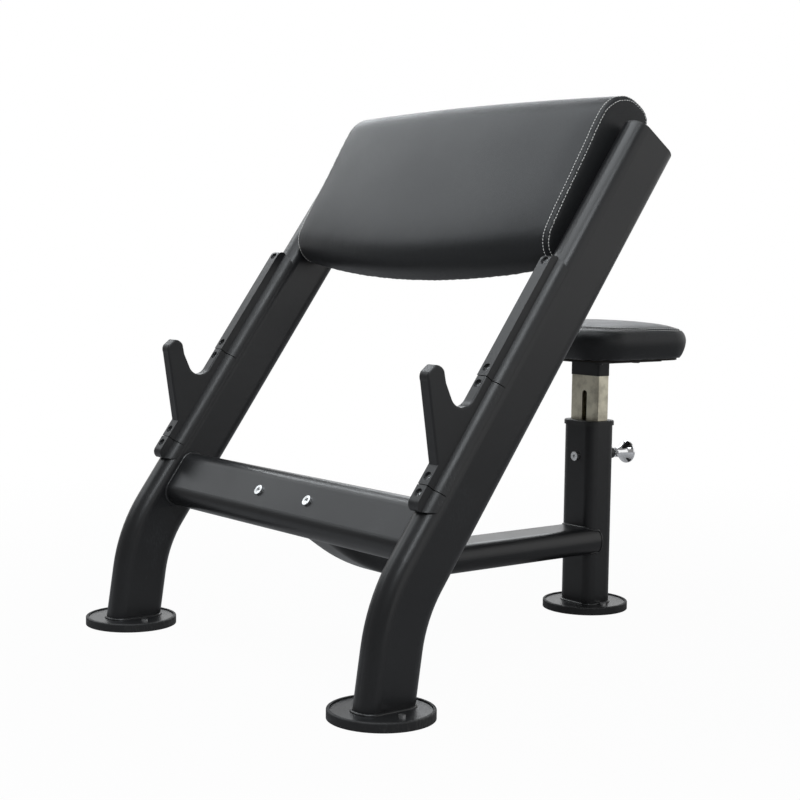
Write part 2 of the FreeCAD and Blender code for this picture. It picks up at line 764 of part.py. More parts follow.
# Sliding seat post: plated tube with a slot in front for the guide screw and pin holes behind
slide = new_body("slide")
slide_section = (d.slide_width, d.slide_depth, d.slide_corner)
hollow(slide, "XY_Plane", d.slide_top, slide_section, d.slide_wall, d.slide_length, back=True)
slot_half = d.slot_width / 2
slot_floor = d.slot_top - d.slot_length
slot = outline(sketch_on(slide, "XZ_Plane"), [
    (slot_half, d.slot_top - slot_half), (ZERO, d.slot_top, slot_half),
    (-slot_half, d.slot_top - slot_half, slot_half), (-slot_half, slot_floor + slot_half),
    (ZERO, slot_floor, slot_half), (slot_half, slot_floor + slot_half, slot_half)])
pocket(slide, slot, d.slide_depth, back=True)
pin_row = sketch_on(slide, "XZ_Plane")
pin_steps = range(-4, 4)
for step in pin_steps:
    ring(pin_row, ZERO, guide_height + d.hole_pitch * step, d.hole_diameter / 2)
pocket(slide, pin_row, d.slide_depth)
keep(place(slide, ZERO, post_axis), "seat_post")

# Foot plug: moulded shoe on the lower end of the sliding post that runs inside the post tube
slide_foot = d.slide_top - d.slide_length
end_plug = new_body("end_plug")
room = (d.post_wall + d.slide_gap) * 2
pad(end_plug, oblong(sketch_on(end_plug, "XY_Plane", slide_foot), d.post_width - room, d.post_depth - room,
                     d.post_corner - d.post_wall - d.slide_gap), d.plug_foot, back=True)
core = (d.slide_wall + d.collar_gap) * 2
pad(end_plug, oblong(sketch_on(end_plug, "XY_Plane", slide_foot), d.slide_width - core, d.slide_depth - core,
                     d.slide_corner - d.slide_wall + d.collar_gap), d.plug_rise)
keep(place(end_plug, ZERO, post_axis), "seat_post_plug")

# Stop band: black sleeve round the top of the sliding post
band = new_body("band")
band_section = (d.slide_width + d.band_thickness * 2, d.slide_depth + d.band_thickness * 2,
                d.slide_corner + d.band_thickness)
hollow(band, "XY_Plane", d.slide_top, band_section, d.band_thickness, d.band_height, back=True)
keep(place(band, ZERO, post_axis), "post_stop_band")

# Seat: steel plate on the post, board, bolts with tee nuts, and a crowned cushion over the board
bolt_hole = d.board_bolt_shank / 2 + d.hole_gap
seat_floor = d.slide_top + d.seat_plate_thickness
seat_spots = [(x, y) for x in (-d.seat_bolt_reach_x, d.seat_bolt_reach_x)
              for y in (-d.seat_bolt_reach_y, d.seat_bolt_reach_y)]
seat_plate = new_body("seat_flat")
seat_sketch = oblong(sketch_on(seat_plate, "XY_Plane", d.slide_top), d.seat_plate_width,
                     d.seat_plate_depth, d.seat_plate_corner)
seat_board = new_body("seat_panel")
inset = d.seat_board_inset * 2
pad(seat_board, oblong(sketch_on(seat_board, "XY_Plane", seat_floor), d.seat_width - inset,
                       d.seat_depth - inset, d.seat_corner - d.seat_board_inset), d.seat_board_thickness)
seat_top = seat_floor + d.seat_board_thickness
barrels = sketch_on(seat_board, "XY_Plane", seat_top)
seats = sketch_on(seat_board, "XY_Plane", seat_top)
bolt_length = d.seat_plate_thickness + d.seat_board_thickness - d.tee_flange_thickness * 2


def tee_nut(name):
    """A flanged barrel nut along Z, its flange on top of zero."""
    return turned(name, [
        (d.board_bolt_shank / 2, -d.tee_length), (d.tee_barrel / 2, -d.tee_length),
        (d.tee_barrel / 2, -d.tee_flange_thickness), (d.tee_flange / 2, -d.tee_flange_thickness),
        (d.tee_flange / 2, ZERO), (d.board_bolt_shank / 2, ZERO)])


seat_bolts, seat_nuts = [], []
for x, y in seat_spots:
    ring(seat_sketch, x, y, bolt_hole)
    ring(barrels, x, y, d.tee_barrel / 2 + d.board_gap)
    ring(seats, x, y, d.tee_flange / 2 + d.board_gap)
    bolt = hex_bolt("seat_bolt", d.board_bolt_shank, bolt_length, d.board_bolt_across, d.board_bolt_rise)
    seat_bolts.append(place(bolt, x, seat_axis + y, d.slide_top, QUARTER_TURN * 2))
    seat_nuts.append(place(tee_nut("seat_tee"), x, seat_axis + y, seat_top))
pad(seat_plate, seat_sketch, d.seat_plate_thickness)
pocket(seat_board, barrels, d.seat_board_thickness)
pocket(seat_board, seats, d.tee_flange_thickness)
keep(place(seat_plate, ZERO, seat_axis), "seat_plate")
keep(place(seat_board, ZERO, seat_axis), "seat_board")
group(seat_bolts, "seat_bolts")
group(seat_nuts, "seat_tee_nuts")

# How far the seat cushion draws in at each share of its height, as shares of its corner radius
seat_form_shares = ((0, 0.17), (0.15, 0.09), (0.32, 0.03), (0.48, 0), (0.6, 0.006), (0.7, 0.04),
                    (0.78, 0.09), (0.845, 0.175), (0.9, 0.33), (0.95, 0.6), (0.98, 0.95), (1, 1.4))
seat_cushion = new_body("seat_pillow")
cushion_foot = seat_floor + d.seat_board_show
layers = []
for rise_share, inset_share in seat_form_shares:
    drawn = d.seat_corner * inset_share
    corner = d.seat_corner / (1 + inset_share)
    layer = sketch_on(seat_cushion, "XY_Plane", cushion_foot + d.seat_cushion_height * rise_share)
    layers.append(oblong(layer, d.seat_width - drawn * 2, d.seat_depth - drawn * 2, corner))
swell = seat_cushion.newObject("PartDesign::AdditiveLoft", "seat_swell")
swell.Profile = layers[0]
swell.Sections = layers[1:]
well = oblong(sketch_on(seat_cushion, "XY_Plane", cushion_foot), d.seat_width - inset, d.seat_depth - inset,
              d.seat_corner - d.seat_board_inset)
pocket(seat_cushion, well, d.seat_board_thickness - d.seat_board_show, back=True)
keep(place(seat_cushion, ZERO, seat_axis), "seat_cushion")

# Arm pad rails: flat bars between the uprights, behind the pad's board
rail_back = d.pad_thickness + d.pad_board_thickness
pad_reaches = (-d.pad_bolt_reach, d.pad_bolt_reach)
RAILS = (("upper", d.upper_rail_rise), ("lower", -d.lower_rail_drop))
for rail_name, level in RAILS:
    rail = new_body(rail_name + "_rail")
    face = sketch_on(rail, "XZ_Plane", -rail_back)
    low, high = level - d.rail_height / 2, level + d.rail_height / 2
    half = cross_length / 2
    outline(face, [(-half, low), (half, low), (half, high), (-half, high)])
    for reach in pad_reaches:
        ring(face, reach, level, bolt_hole)
    pad(rail, face, d.rail_thickness, back=True)
    keep(lean_pad(rail), "pad_%s_rail" % rail_name)

# Arm pad board, its tee nuts and bolts
board = new_body("pad_panel")
board_top = d.pad_shelf - d.board_gap
board_foot = d.pad_board_inset - d.pad_drop
board_half = d.pad_width / 2 - d.pad_board_inset
face = sketch_on(board, "XZ_Plane", -d.pad_thickness)
outline(face, [(-board_half, board_foot), (board_half, board_foot), (board_half, board_top),
               (-board_half, board_top)])
pad(board, face, d.pad_board_thickness, back=True)
barrels = sketch_on(board, "XZ_Plane", -d.pad_thickness)
seats = sketch_on(board, "XZ_Plane", -d.pad_thickness)
pad_bolts, pad_nuts = [], []
pad_forward = QUARTER_TURN - d.pad_lean_angle
pad_backward = -QUARTER_TURN - d.pad_lean_angle
pad_bolt_length = d.rail_thickness + d.pad_board_thickness - d.tee_flange_thickness * 2
for _, level in RAILS:
    for reach in pad_reaches:
        ring(barrels, reach, level, d.tee_barrel / 2 + d.board_gap)
        ring(seats, reach, level, d.tee_flange / 2 + d.board_gap)
        bolt = hex_bolt("pad_bolt", d.board_bolt_shank, pad_bolt_length, d.board_bolt_across,
                        d.board_bolt_rise)
        pad_bolts.append(place(bolt, *on_pad(reach, rail_back + d.rail_thickness, level), pad_backward))
        pad_nuts.append(place(tee_nut("pad_tee"), *on_pad(reach, d.pad_thickness, level), pad_forward))
pocket(board, barrels, d.pad_board_thickness)
pocket(board, seats, d.tee_flange_thickness)
keep(lean_pad(board), "pad_board")
group(pad_bolts, "pad_bolts")
group(pad_nuts, "pad_tee_nuts")

# Arm pad cushion: one side outline lofted across the width, fuller and deeper towards the middle
pad_form_shares = ((-1, 0), (-0.5, 0.75), (0, 1), (0.5, 0.75), (1, 0))
cushion = new_body("pad_pillow")
slices = []
for width_share, crown_share in pad_form_shares:
    bulge = -d.pad_crown * crown_share
    foot = -d.pad_drop - d.pad_sag * crown_share
    slices.append(outline(sketch_on(cushion, "YZ_Plane", d.pad_width / 2 * width_share), [
        (d.pad_thickness, foot),
        (d.pad_thickness, d.pad_shelf),
        (d.pad_roll_depth, d.pad_shelf),
        (d.pad_roll_depth, d.pad_rise - d.pad_roll_drop),
        (d.pad_head_depth + d.pad_roll_flat, d.pad_rise, d.pad_roll_round),
        (d.pad_head_depth, d.pad_rise),
        (bulge, d.pad_head_start, d.pad_head_round),
        (bulge, foot + d.pad_foot_round),
        (bulge + d.pad_foot_round, foot, d.pad_foot_round),
    ]))
roll = cushion.newObject("PartDesign::AdditiveLoft", "pad_swell")
roll.Profile = slices[0]
roll.Sections = slices[1:]
keep(lean_pad(cushion), "pad_cushion")

# Guards and bar hooks: moulded saddles over the front of each upright, with a rib down the middle
tube_face = -d.tube_depth / 2
skin_face = tube_face - d.guard_skin
rib_face = tube_face - d.rib_projection
skin_back = tube_face + d.guard_wrap
bare_face = tube_face - d.guard_gap
bare_round = d.tube_corner + d.guard_gap
flat_half = d.tube_width / 2 - d.tube_corner
bare_side = bare_round - d.guard_wrap - d.guard_gap
inner_half = flat_half + root(bare_round * bare_round - bare_side * bare_side)
outer_half = inner_half + d.guard_edge
outer_reach = outer_half - flat_half
outer_rise = skin_back - skin_face
outer_round = (outer_reach * outer_reach + outer_rise * outer_rise) / outer_rise / 2


def saddle(body, foot, head):
    """The skin over the front of the tube, thinning towards its edges."""
    sketch = outline(sketch_on(body, "XY_Plane", foot), [
        (outer_half, skin_back, outer_round),
        (inner_half, skin_back),
        (flat_half, bare_face, -bare_round),
        (-flat_half, bare_face),
        (-inner_half, skin_back, -bare_round),
        (-outer_half, skin_back),
        (-flat_half, skin_face, outer_round),
        (flat_half, skin_face),
    ])
    pad(body, sketch, head - foot)


def trim_end(body, level, sign):
    """Sweep the cheeks back at a free end of a guard."""
    drop = d.guard_end_drop * sign
    sketch = outline(sketch_on(body, "YZ_Plane"), [
        (skin_face, level),
        (skin_back + OVERRUN, level - drop),
        (skin_back + OVERRUN, level + OVERRUN * sign),
        (skin_face, level + OVERRUN * sign),
    ])
    pocket(body, sketch, d.tube_width * 2, middle=True)


def screw_wells(body, levels):
    """Counterbored holes down the rib for the guard's screws."""
    seat = rib_face + d.guard_screw_depth
    wells = sketch_on(body, "XZ_Plane", -seat)
    shanks = sketch_on(body, "XZ_Plane", -seat)
    for level in levels:
        ring(wells, ZERO, level, d.guard_screw_head / 2 + d.hole_gap)
        ring(shanks, ZERO, level, d.guard_screw_shank / 2 + d.hole_gap)
    pocket(body, wells, d.guard_screw_depth + d.tube_depth, back=True)
    pocket(body, shanks, d.guard_screw_depth)


def guard_rib(body, corners):
    pad(body, outline(sketch_on(body, "YZ_Plane"), corners), d.rib_width, middle=True)


rib_root = bare_face - d.guard_gap
notch_reach = d.notch_radius * cotangent(d.notch_mouth_angle / 2)
guard_screws, guard_nuts = [], []
for side, x in SIDES:
    lower = new_body(side + "_lower")
    head = d.hook_foot - d.split_gap
    saddle(lower, d.lower_guard_foot, head)
    guard_rib(lower, [
        (rib_root, d.lower_guard_foot), (rib_root, head), (rib_face, head),
        (rib_face, d.lower_guard_foot + d.rib_end_round),
        (rib_face + d.rib_end_round, d.lower_guard_foot, d.rib_end_round)])
    trim_end(lower, d.lower_guard_foot, -1)
    screw_wells(lower, screw_levels[:1])
    keep(lean(lower, x), side + "_lower_guard")

    hook = new_body(side + "_hook")
    foot = d.hook_foot
    head = d.upper_guard_foot - d.split_gap
    saddle(hook, foot, head)
    # the notch's round ends on the rib's face and on the prong's inner edge, which opens by the mouth angle
    nape = (rib_face - d.prong_nape_out, foot + d.prong_nape_along)
    throat = (rib_face - d.prong_throat_out, foot + d.prong_throat_along)
    notch_root = foot + d.prong_throat_along - d.prong_throat_out * cotangent(d.notch_mouth_angle)
    notch_top = (rib_face, notch_root + notch_reach)
    notch_low = (rib_face - notch_reach * sine(d.notch_mouth_angle),
                 notch_root + notch_reach * cosine(d.notch_mouth_angle), -d.notch_radius)
    guard_rib(hook, [
        (rib_root, foot), (rib_root, head), (rib_face, head),
        notch_top, notch_low, throat, nape,
        (rib_face - d.prong_crest_out, foot + d.prong_crest_along, d.prong_crest_round),
        (rib_face - d.prong_brow_out, foot + d.prong_brow_along),
        (rib_face - d.prong_shoulder_out, foot + d.prong_shoulder_along, d.prong_brow_round),
        (rib_face, foot + d.prong_foot), (rib_face, foot)])
    rib_cheek = (d.rib_width / 2 - d.split_gap).number
    round_edges(hook, d.hook_edge_round, lambda edge: (
        edge.BoundBox.YMax < (rib_face + d.split_gap).number
        and abs(edge.CenterOfMass.x) > rib_cheek
        and edge.BoundBox.ZMin > (foot + d.split_gap).number))
    screw_wells(hook, screw_levels[1:3])
    keep(lean(hook, x), side + "_bar_hook")

    upper = new_body(side + "_upper")
    foot = d.upper_guard_foot
    head = d.upper_guard_head
    saddle(upper, foot, head)
    guard_rib(upper, [
        (rib_root, foot), (rib_root, head), (rib_face + d.rib_end_round, head),
        (rib_face, head - d.rib_end_round, d.rib_end_round), (rib_face, foot)])
    trim_end(upper, head, 1)
    screw_wells(upper, screw_levels[3:])
    keep(lean(upper, x), side + "_upper_guard")

    for level in screw_levels:
        seat = rib_face + d.guard_screw_depth
        nut_face = tube_face + d.tube_wall + d.hole_gap
        shank = nut_face + d.guard_nut_thickness - seat
        screw = socket_screw(side + "_guard_screw", d.guard_screw_shank, shank, d.guard_screw_head,
                             d.guard_screw_rise, d.guard_socket)
        guard_screws.append(place(screw, *on_lean(x, seat, level), forward))
        nut = sleeve(side + "_guard_ring", d.guard_nut_diameter, d.guard_screw_shank, d.guard_nut_thickness)
        guard_nuts.append(place(nut, *on_lean(x, nut_face + d.guard_nut_thickness, level), forward))
group(guard_screws, "guard_screws")
group(guard_nuts, "guard_nuts")

# Rebuild, make sure that every piece is sound, and write each one out
doc.recompute()
for piece in doc.Objects:
    if any(state in ("Invalid", "Error") for state in piece.State):
        raise RuntimeError("%s did not build: %s" % (piece.Label, piece.State))
for piece in sub_parts:
    if piece.Shape.isNull() or not piece.Shape.isValid():
        raise RuntimeError("%s has no sound shape" % piece.Label)
    bounds = piece.Shape.BoundBox
    print("%-22s solids %2d  volume %9.0f  X %7.1f %7.1f  Y %7.1f %7.1f  Z %6.1f %6.1f" % (
        piece.Label, len(piece.Shape.Solids), piece.Shape.Volume, bounds.XMin, bounds.XMax,
        bounds.YMin, bounds.YMax, bounds.ZMin, bounds.ZMax))
    piece.Shape.exportStep("parts/%s.step" % piece.Label)
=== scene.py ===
import math

import bmesh
import bpy
from mathutils import Euler, Matrix, Vector, noise
from mathutils.bvhtree import BVHTree
from mathutils.geometry import convex_hull_2d
from mathutils.kdtree import KDTree


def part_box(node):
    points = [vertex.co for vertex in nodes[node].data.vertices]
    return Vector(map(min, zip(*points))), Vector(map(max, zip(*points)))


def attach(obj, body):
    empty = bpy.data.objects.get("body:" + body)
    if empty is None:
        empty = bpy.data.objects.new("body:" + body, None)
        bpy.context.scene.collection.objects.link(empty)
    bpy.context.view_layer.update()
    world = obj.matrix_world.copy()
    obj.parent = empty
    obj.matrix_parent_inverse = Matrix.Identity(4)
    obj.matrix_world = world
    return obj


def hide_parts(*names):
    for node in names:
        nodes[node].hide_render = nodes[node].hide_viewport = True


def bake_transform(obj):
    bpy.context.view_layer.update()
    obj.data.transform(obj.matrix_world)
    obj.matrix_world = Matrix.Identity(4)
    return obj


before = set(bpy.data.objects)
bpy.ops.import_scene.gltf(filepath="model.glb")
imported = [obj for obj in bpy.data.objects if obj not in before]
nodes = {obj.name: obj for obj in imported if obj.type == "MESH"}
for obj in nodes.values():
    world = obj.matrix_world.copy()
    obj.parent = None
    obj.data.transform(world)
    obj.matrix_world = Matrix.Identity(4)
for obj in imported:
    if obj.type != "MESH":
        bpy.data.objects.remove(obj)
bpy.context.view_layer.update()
scene = bpy.context.scene

# Uprights, foot plates, spine and seat post: flat-sided oval steel tube, bent, cut and welded up,
# then powder coated satin black as one frame. The coat has a faint orange peel, a little dust
# and fine scuffs low down where shoes and the floor brush rub it.
COAT_DARK = (0.0105, 0.0108, 0.0116, 1)
COAT_WORN = (0.030, 0.031, 0.033, 1)
SCUFF_TURN, SCUFF_STRETCH, SCUFF_SHARPNESS = (0.4, 0.2, 0.7), (1.0, 9.0, 2.0), 9.0
SCUFFED_UNDER, SCUFFED_LITTLE_OVER = 0.02, 0.32


def add(tree, kind, settings=None, sockets=None):
    """One shader node with its settings, its sockets given a value or wired to another node's output."""
    node = tree.nodes.new("ShaderNode" + kind)
    for name, value in (settings or {}).items():
        setattr(node, name, value)
    for name, value in (sockets or {}).items():
        if isinstance(value, bpy.types.NodeSocket):
            tree.links.new(value, node.inputs[name])
        else:
            node.inputs[name].default_value = value
    return node


def put_in(name, data):
    """A new object in the scene with its mesh, curve, light or camera."""
    thing = bpy.data.objects.new(name, data)
    scene.collection.objects.link(thing)
    return thing


def mesh_of(name, form):
    """A mesh made from a finished bmesh, which is freed."""
    mesh = bpy.data.meshes.new(name)
    form.to_mesh(mesh)
    form.free()
    return mesh


def new_finish(name, **plain):
    """A material with one surface shader; plain sets the shader's own sockets."""
    material = bpy.data.materials.new(name)
    material.use_nodes = True
    tree = material.node_tree
    tree.nodes.clear()
    skin = add(tree, "BsdfPrincipled")
    add(tree, "OutputMaterial", sockets={"Surface": skin.outputs["BSDF"]})
    for socket, value in plain.items():
        skin.inputs[socket.replace("_", " ")].default_value = value
    return material, tree, skin


def new_group(name, takes, gives):
    """An empty node group with named number inputs and outputs."""
    tree = bpy.data.node_groups.new(name, "ShaderNodeTree")
    for socket in takes:
        tree.interface.new_socket(socket, in_out="INPUT", socket_type="NodeSocketFloat")
    for socket in gives:
        tree.interface.new_socket(socket, in_out="OUTPUT", socket_type="NodeSocketFloat")
    return tree, tree.nodes.new("NodeGroupInput"), tree.nodes.new("NodeGroupOutput")


def use_group(tree, group, **values):
    node = tree.nodes.new("ShaderNodeGroup")
    node.node_tree = group
    for socket, value in values.items():
        node.inputs[socket].default_value = value
    return node


def emboss(tree, skin, height, depth, strength):
    """Raise the surface by a height pattern, depth in metres."""
    bump = add(tree, "Bump", sockets={"Height": height, "Distance": depth, "Strength": strength})
    tree.links.new(bump.outputs["Normal"], skin.inputs["Normal"])


def blend_colour(tree, share, first, second):
    mix = add(tree, "Mix", {"data_type": "RGBA"}, {0: share, 6: first, 7: second})
    return mix.outputs[2]


def spread(tree, value, low, high, to_low, to_high):
    ranged = add(tree, "MapRange", {"clamp": True}, {
        "Value": value, "From Min": low, "From Max": high, "To Min": to_low, "To Max": to_high})
    return ranged.outputs["Result"]


peel, peel_in, peel_out = new_group("orange_peel", ["Ripples", "Clouds"], ["Height", "Cloud"])
peel_place = add(peel, "TexCoord").outputs["Object"]
ripple = add(peel, "TexNoise", sockets={
    "Vector": peel_place, "Scale": peel_in.outputs["Ripples"], "Detail": 2.0, "Roughness": 0.45})
cloud = add(peel, "TexNoise", sockets={
    "Vector": peel_place, "Scale": peel_in.outputs["Clouds"], "Detail": 4.0, "Roughness": 0.6})
peel.links.new(ripple.outputs["Fac"], peel_out.inputs["Height"])
peel.links.new(cloud.outputs["Fac"], peel_out.inputs["Cloud"])

scuffs, scuffs_in, scuffs_out = new_group("scuffs", ["Fineness", "Bareness"], ["Mask"])
scuff_place = add(scuffs, "TexCoord").outputs["Object"]
scuff_turn = add(scuffs, "Mapping", sockets={
    "Vector": scuff_place, "Rotation": SCUFF_TURN, "Scale": SCUFF_STRETCH})
scratch = add(scuffs, "TexNoise", sockets={
    "Vector": scuff_turn.outputs["Vector"], "Scale": scuffs_in.outputs["Fineness"], "Detail": 6.0,
    "Roughness": 0.7})
patch = add(scuffs, "TexNoise", sockets={"Vector": scuff_place, "Scale": 9.0, "Detail": 3.0})
both = add(scuffs, "Math", {"operation": "MULTIPLY"}, {
    0: scratch.outputs["Fac"], 1: patch.outputs["Fac"]})
over = add(scuffs, "Math", {"operation": "SUBTRACT"}, {
    0: both.outputs[0], 1: scuffs_in.outputs["Bareness"]})
sharp = add(scuffs, "Math", {"operation": "MULTIPLY", "use_clamp": True}, {
    0: over.outputs[0], 1: SCUFF_SHARPNESS})
scuffs.links.new(sharp.outputs[0], scuffs_out.inputs["Mask"])


def rubbed_finish(name, body, rub, ripples, clouds, fineness, bareness, rough, relief, **plain):
    """A clouded, peeled finish with a second colour where it is scuffed; relief is depth and strength."""
    material, tree, skin = new_finish(name, **plain)
    peeled = use_group(tree, peel, Ripples=ripples, Clouds=clouds)
    scuffed = use_group(tree, scuffs, Fineness=fineness, Bareness=bareness)
    tree.links.new(blend_colour(tree, scuffed.outputs["Mask"], body, rub), skin.inputs["Base Color"])
    tree.links.new(spread(tree, peeled.outputs["Cloud"], 0.3, 0.7, *rough), skin.inputs["Roughness"])
    emboss(tree, skin, peeled.outputs["Height"], *relief)
    return material


coat, tree, skin = new_finish("satin_powder_coat", Specular_IOR_Level=0.45)
peeled = use_group(tree, peel, Ripples=420.0, Clouds=7.0)
rubbed = use_group(tree, scuffs, Fineness=60.0, Bareness=0.34)
place = add(tree, "TexCoord").outputs["Object"]
height_up = add(tree, "SeparateXYZ", sockets={0: place}).outputs["Z"]
low_down = spread(tree, height_up, SCUFFED_UNDER, SCUFFED_LITTLE_OVER, 1.0, 0.25)
worn = add(tree, "Math", {"operation": "MULTIPLY"}, {
    0: rubbed.outputs["Mask"], 1: low_down}).outputs[0]
tree.links.new(blend_colour(tree, worn, COAT_DARK, COAT_WORN), skin.inputs["Base Color"])
tree.links.new(spread(tree, peeled.outputs["Cloud"], 0.3, 0.7, 0.29, 0.37), skin.inputs["Roughness"])
emboss(tree, skin, peeled.outputs["Height"], 0.00022, 0.35)


def give(material, *names):
    """Put a finish on CAD nodes that keep their own shape."""
    for name in names:
        for slot in nodes[name].material_slots:
            slot.material = material


give(coat, "left_upright", "right_upright", "left_foot_plate", "right_foot_plate", "rear_foot_plate",
     "cross_tube", "spine_tube", "spine_flange", "seat_post_tube", "pad_upper_rail", "pad_lower_rail",
     "seat_plate")

# Weld beads: every tube and plate of the frame is joined by a small fillet weld run right round the
# joint. The bead is a row of overlapping pools, coated over with the frame.
BEAD_RADIUS, RAIL_BEAD, HOUSING_BEAD = 0.0034, 0.0026, 0.0022
POOL_STEP = 0.0031
ON_PLANE = 0.0002
PLATE_TOP = 0.012
FOOT_MIDDLE = Vector((0.3645, -0.414, PLATE_TOP))
POST_MIDDLE = Vector((0, 0.349, PLATE_TOP))
CHEEK = 0.3395
FLANGE_BACK, FLANGE_RISE = 0.033, 0.1215
HOUSING_FRONT = Vector((0, 0.381, 0.288))
BACK_AXIS, SIDE_AXIS, UP_AXIS = Vector((0, 1, 0)), Vector((1, 0, 0)), Vector((0, 0, 1))
LEAN = math.radians(35.4)
KNEE = Vector((0, -0.3884, 0.153))
BACKWARD = Vector((0, math.cos(LEAN), -math.sin(LEAN)))
UPWARD = Vector((0, math.sin(LEAN), math.cos(LEAN)))


def joint_rim(node, point, normal):
    """The outer edge of a CAD node where it ends on a plane, as points in order."""
    across = normal.orthogonal().normalized()
    along = normal.cross(across)
    away = [v.co - point for v in nodes[node].data.vertices]
    spots = [spot for spot in away if abs(spot.dot(normal)) < ON_PLANE]
    flat = [(spot.dot(across), spot.dot(along)) for spot in spots]
    return [point + across * flat[i][0] + along * flat[i][1] for i in convex_hull_2d(flat)]


def even_steps(line, step, closed=True):
    """Points a step apart along a line."""
    ends = line + line[:1] if closed else line
    lengths = [(b - a).length for a, b in zip(ends, ends[1:])]
    count = max(3, round(sum(lengths) / step))
    gap = sum(lengths) / count
    points, leg, gone = [], 0, 0.0
    for number in range(count if closed else count + 1):
        want = number * gap
        while leg < len(lengths) - 1 and gone + lengths[leg] < want:
            gone += lengths[leg]
            leg += 1
        share = min(1.0, (want - gone) / max(lengths[leg], 1e-9))
        points.append(ends[leg].lerp(ends[leg + 1], share))
    return points


def weld_bead(name, rim, radius=BEAD_RADIUS):
    pools = even_steps(rim, POOL_STEP)
    run = bpy.data.curves.new(name, "CURVE")
    run.dimensions = "3D"
    run.bevel_depth = radius
    run.bevel_resolution = 2
    spline = run.splines.new("POLY")
    spline.points.add(len(pools) - 1)
    spline.use_cyclic_u = True
    for number, (knot, pool) in enumerate(zip(spline.points, pools)):
        knot.co = (*pool, 1)
        knot.radius = (1.0 if number % 2 else 0.86) + 0.12 * noise.noise(pool * 300)
    wire = put_in(name + "_run", run)
    mesh = bpy.data.meshes.new_from_object(wire.evaluated_get(bpy.context.evaluated_depsgraph_get()))
    bpy.data.objects.remove(wire)
    mesh.materials.clear()
    mesh.materials.append(coat)
    mesh.shade_smooth()
    bead = put_in(name, mesh)
    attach(bead, "frame")


for side, sign in (("left", -1), ("right", 1)):
    foot_top = Vector((sign * FOOT_MIDDLE.x, FOOT_MIDDLE.y, FOOT_MIDDLE.z))
    weld_bead(side + "_foot_weld", joint_rim(side + "_upright", foot_top, UP_AXIS))
    cheek = SIDE_AXIS * sign * CHEEK
    weld_bead(side + "_cross_weld", joint_rim("cross_tube", cheek, SIDE_AXIS))
    weld_bead(side + "_upper_rail_weld", joint_rim("pad_upper_rail", cheek, SIDE_AXIS), RAIL_BEAD)
    weld_bead(side + "_lower_rail_weld", joint_rim("pad_lower_rail", cheek, SIDE_AXIS), RAIL_BEAD)
weld_bead("post_foot_weld", joint_rim("seat_post_tube", POST_MIDDLE, UP_AXIS))
flange_back = KNEE + BACKWARD * FLANGE_BACK + UPWARD * FLANGE_RISE
weld_bead("spine_flange_weld", joint_rim("spine_tube", flange_back, BACKWARD))
weld_bead("housing_weld", joint_rim("pin_housing", HOUSING_FRONT, BACK_AXIS), HOUSING_BEAD)

# Spine end: the spine tube is notched to lap the seat post on both sides. A small steel plate closes
# each lap, with a fine bead round it, and one bead runs over the top of the tube and back underneath.
SPINE_END = 0.341
SPINE_LEVEL = 0.131
SPINE_HALF, SPINE_CORNER = Vector((0.050, 0.025)), 0.024
POST_HALF, POST_FRONT, POST_CORNER = 0.040, 0.317, 0.018
END_PLATE = 0.002
LAP_BEAD, PLATE_BEAD = 0.0028, 0.0016
RIM_SLACK = 0.0001


def fall_away(across, half, radius):
    """How far a rounded corner has dropped at a distance across from the middle."""
    into = max(0.0, abs(across) - half + radius)
    return radius - math.sqrt(radius ** 2 - into ** 2)


lap_steps = [POST_HALF * number / 20 for number in range(-20, 21)]
lap_top = [Vector((x, POST_FRONT + fall_away(x, POST_HALF, POST_CORNER),
                   SPINE_HALF.y - fall_away(x, SPINE_HALF.x, SPINE_CORNER))) for x in lap_steps]
lap_top += [Vector((POST_HALF, SPINE_END, lap_top[-1].z))]
lap_top = [Vector((-POST_HALF, SPINE_END, lap_top[0].z))] + lap_top
lap_under = [Vector((spot.x, spot.y, -spot.z)) for spot in reversed(lap_top)]
weld_bead("spine_post_weld", [spot + UP_AXIS * SPINE_LEVEL for spot in lap_top + lap_under], LAP_BEAD)
end_rim = joint_rim("spine_tube", Vector((0, SPINE_END, SPINE_LEVEL)), BACK_AXIS)
for side, sign in (("left", -1), ("right", 1)):
    rim = [spot for spot in end_rim if spot.x * sign > POST_HALF - RIM_SLACK]
    weld_bead(side + "_lap_weld", rim, PLATE_BEAD)
    form = bmesh.new()
    plate = bmesh.ops.contextual_create(form, geom=[form.verts.new(spot) for spot in rim])["faces"]
    raised = bmesh.ops.extrude_face_region(form, geom=plate)["geom"]
    corners = [part for part in raised if isinstance(part, bmesh.types.BMVert)]
    bmesh.ops.translate(form, vec=BACK_AXIS * END_PLATE, verts=corners)
    bmesh.ops.recalc_face_normals(form, faces=form.faces)
    closing = put_in(side + "_spine_end", mesh_of(side + "_spine_end", form))
    closing.data.materials.append(coat)
    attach(closing, "frame")

# Foot shoes: moulded rubber cups under the three foot plates, matt, with a fine mould texture and
# a trace of pale dust in scattered patches. Each is held by two pan-head screws through the plate.
RUBBER = (0.017, 0.017, 0.0175, 1)
DUSTY_RUBBER = (0.042, 0.041, 0.039, 1)
rubber = rubbed_finish("shoe_rubber", RUBBER, DUSTY_RUBBER, ripples=900.0, clouds=26.0, fineness=34.0,
                       bareness=0.27, rough=(0.55, 0.72), relief=(0.00025, 0.5), Specular_IOR_Level=0.35)
give(rubber, "left_foot_shoe", "right_foot_shoe", "rear_foot_shoe")

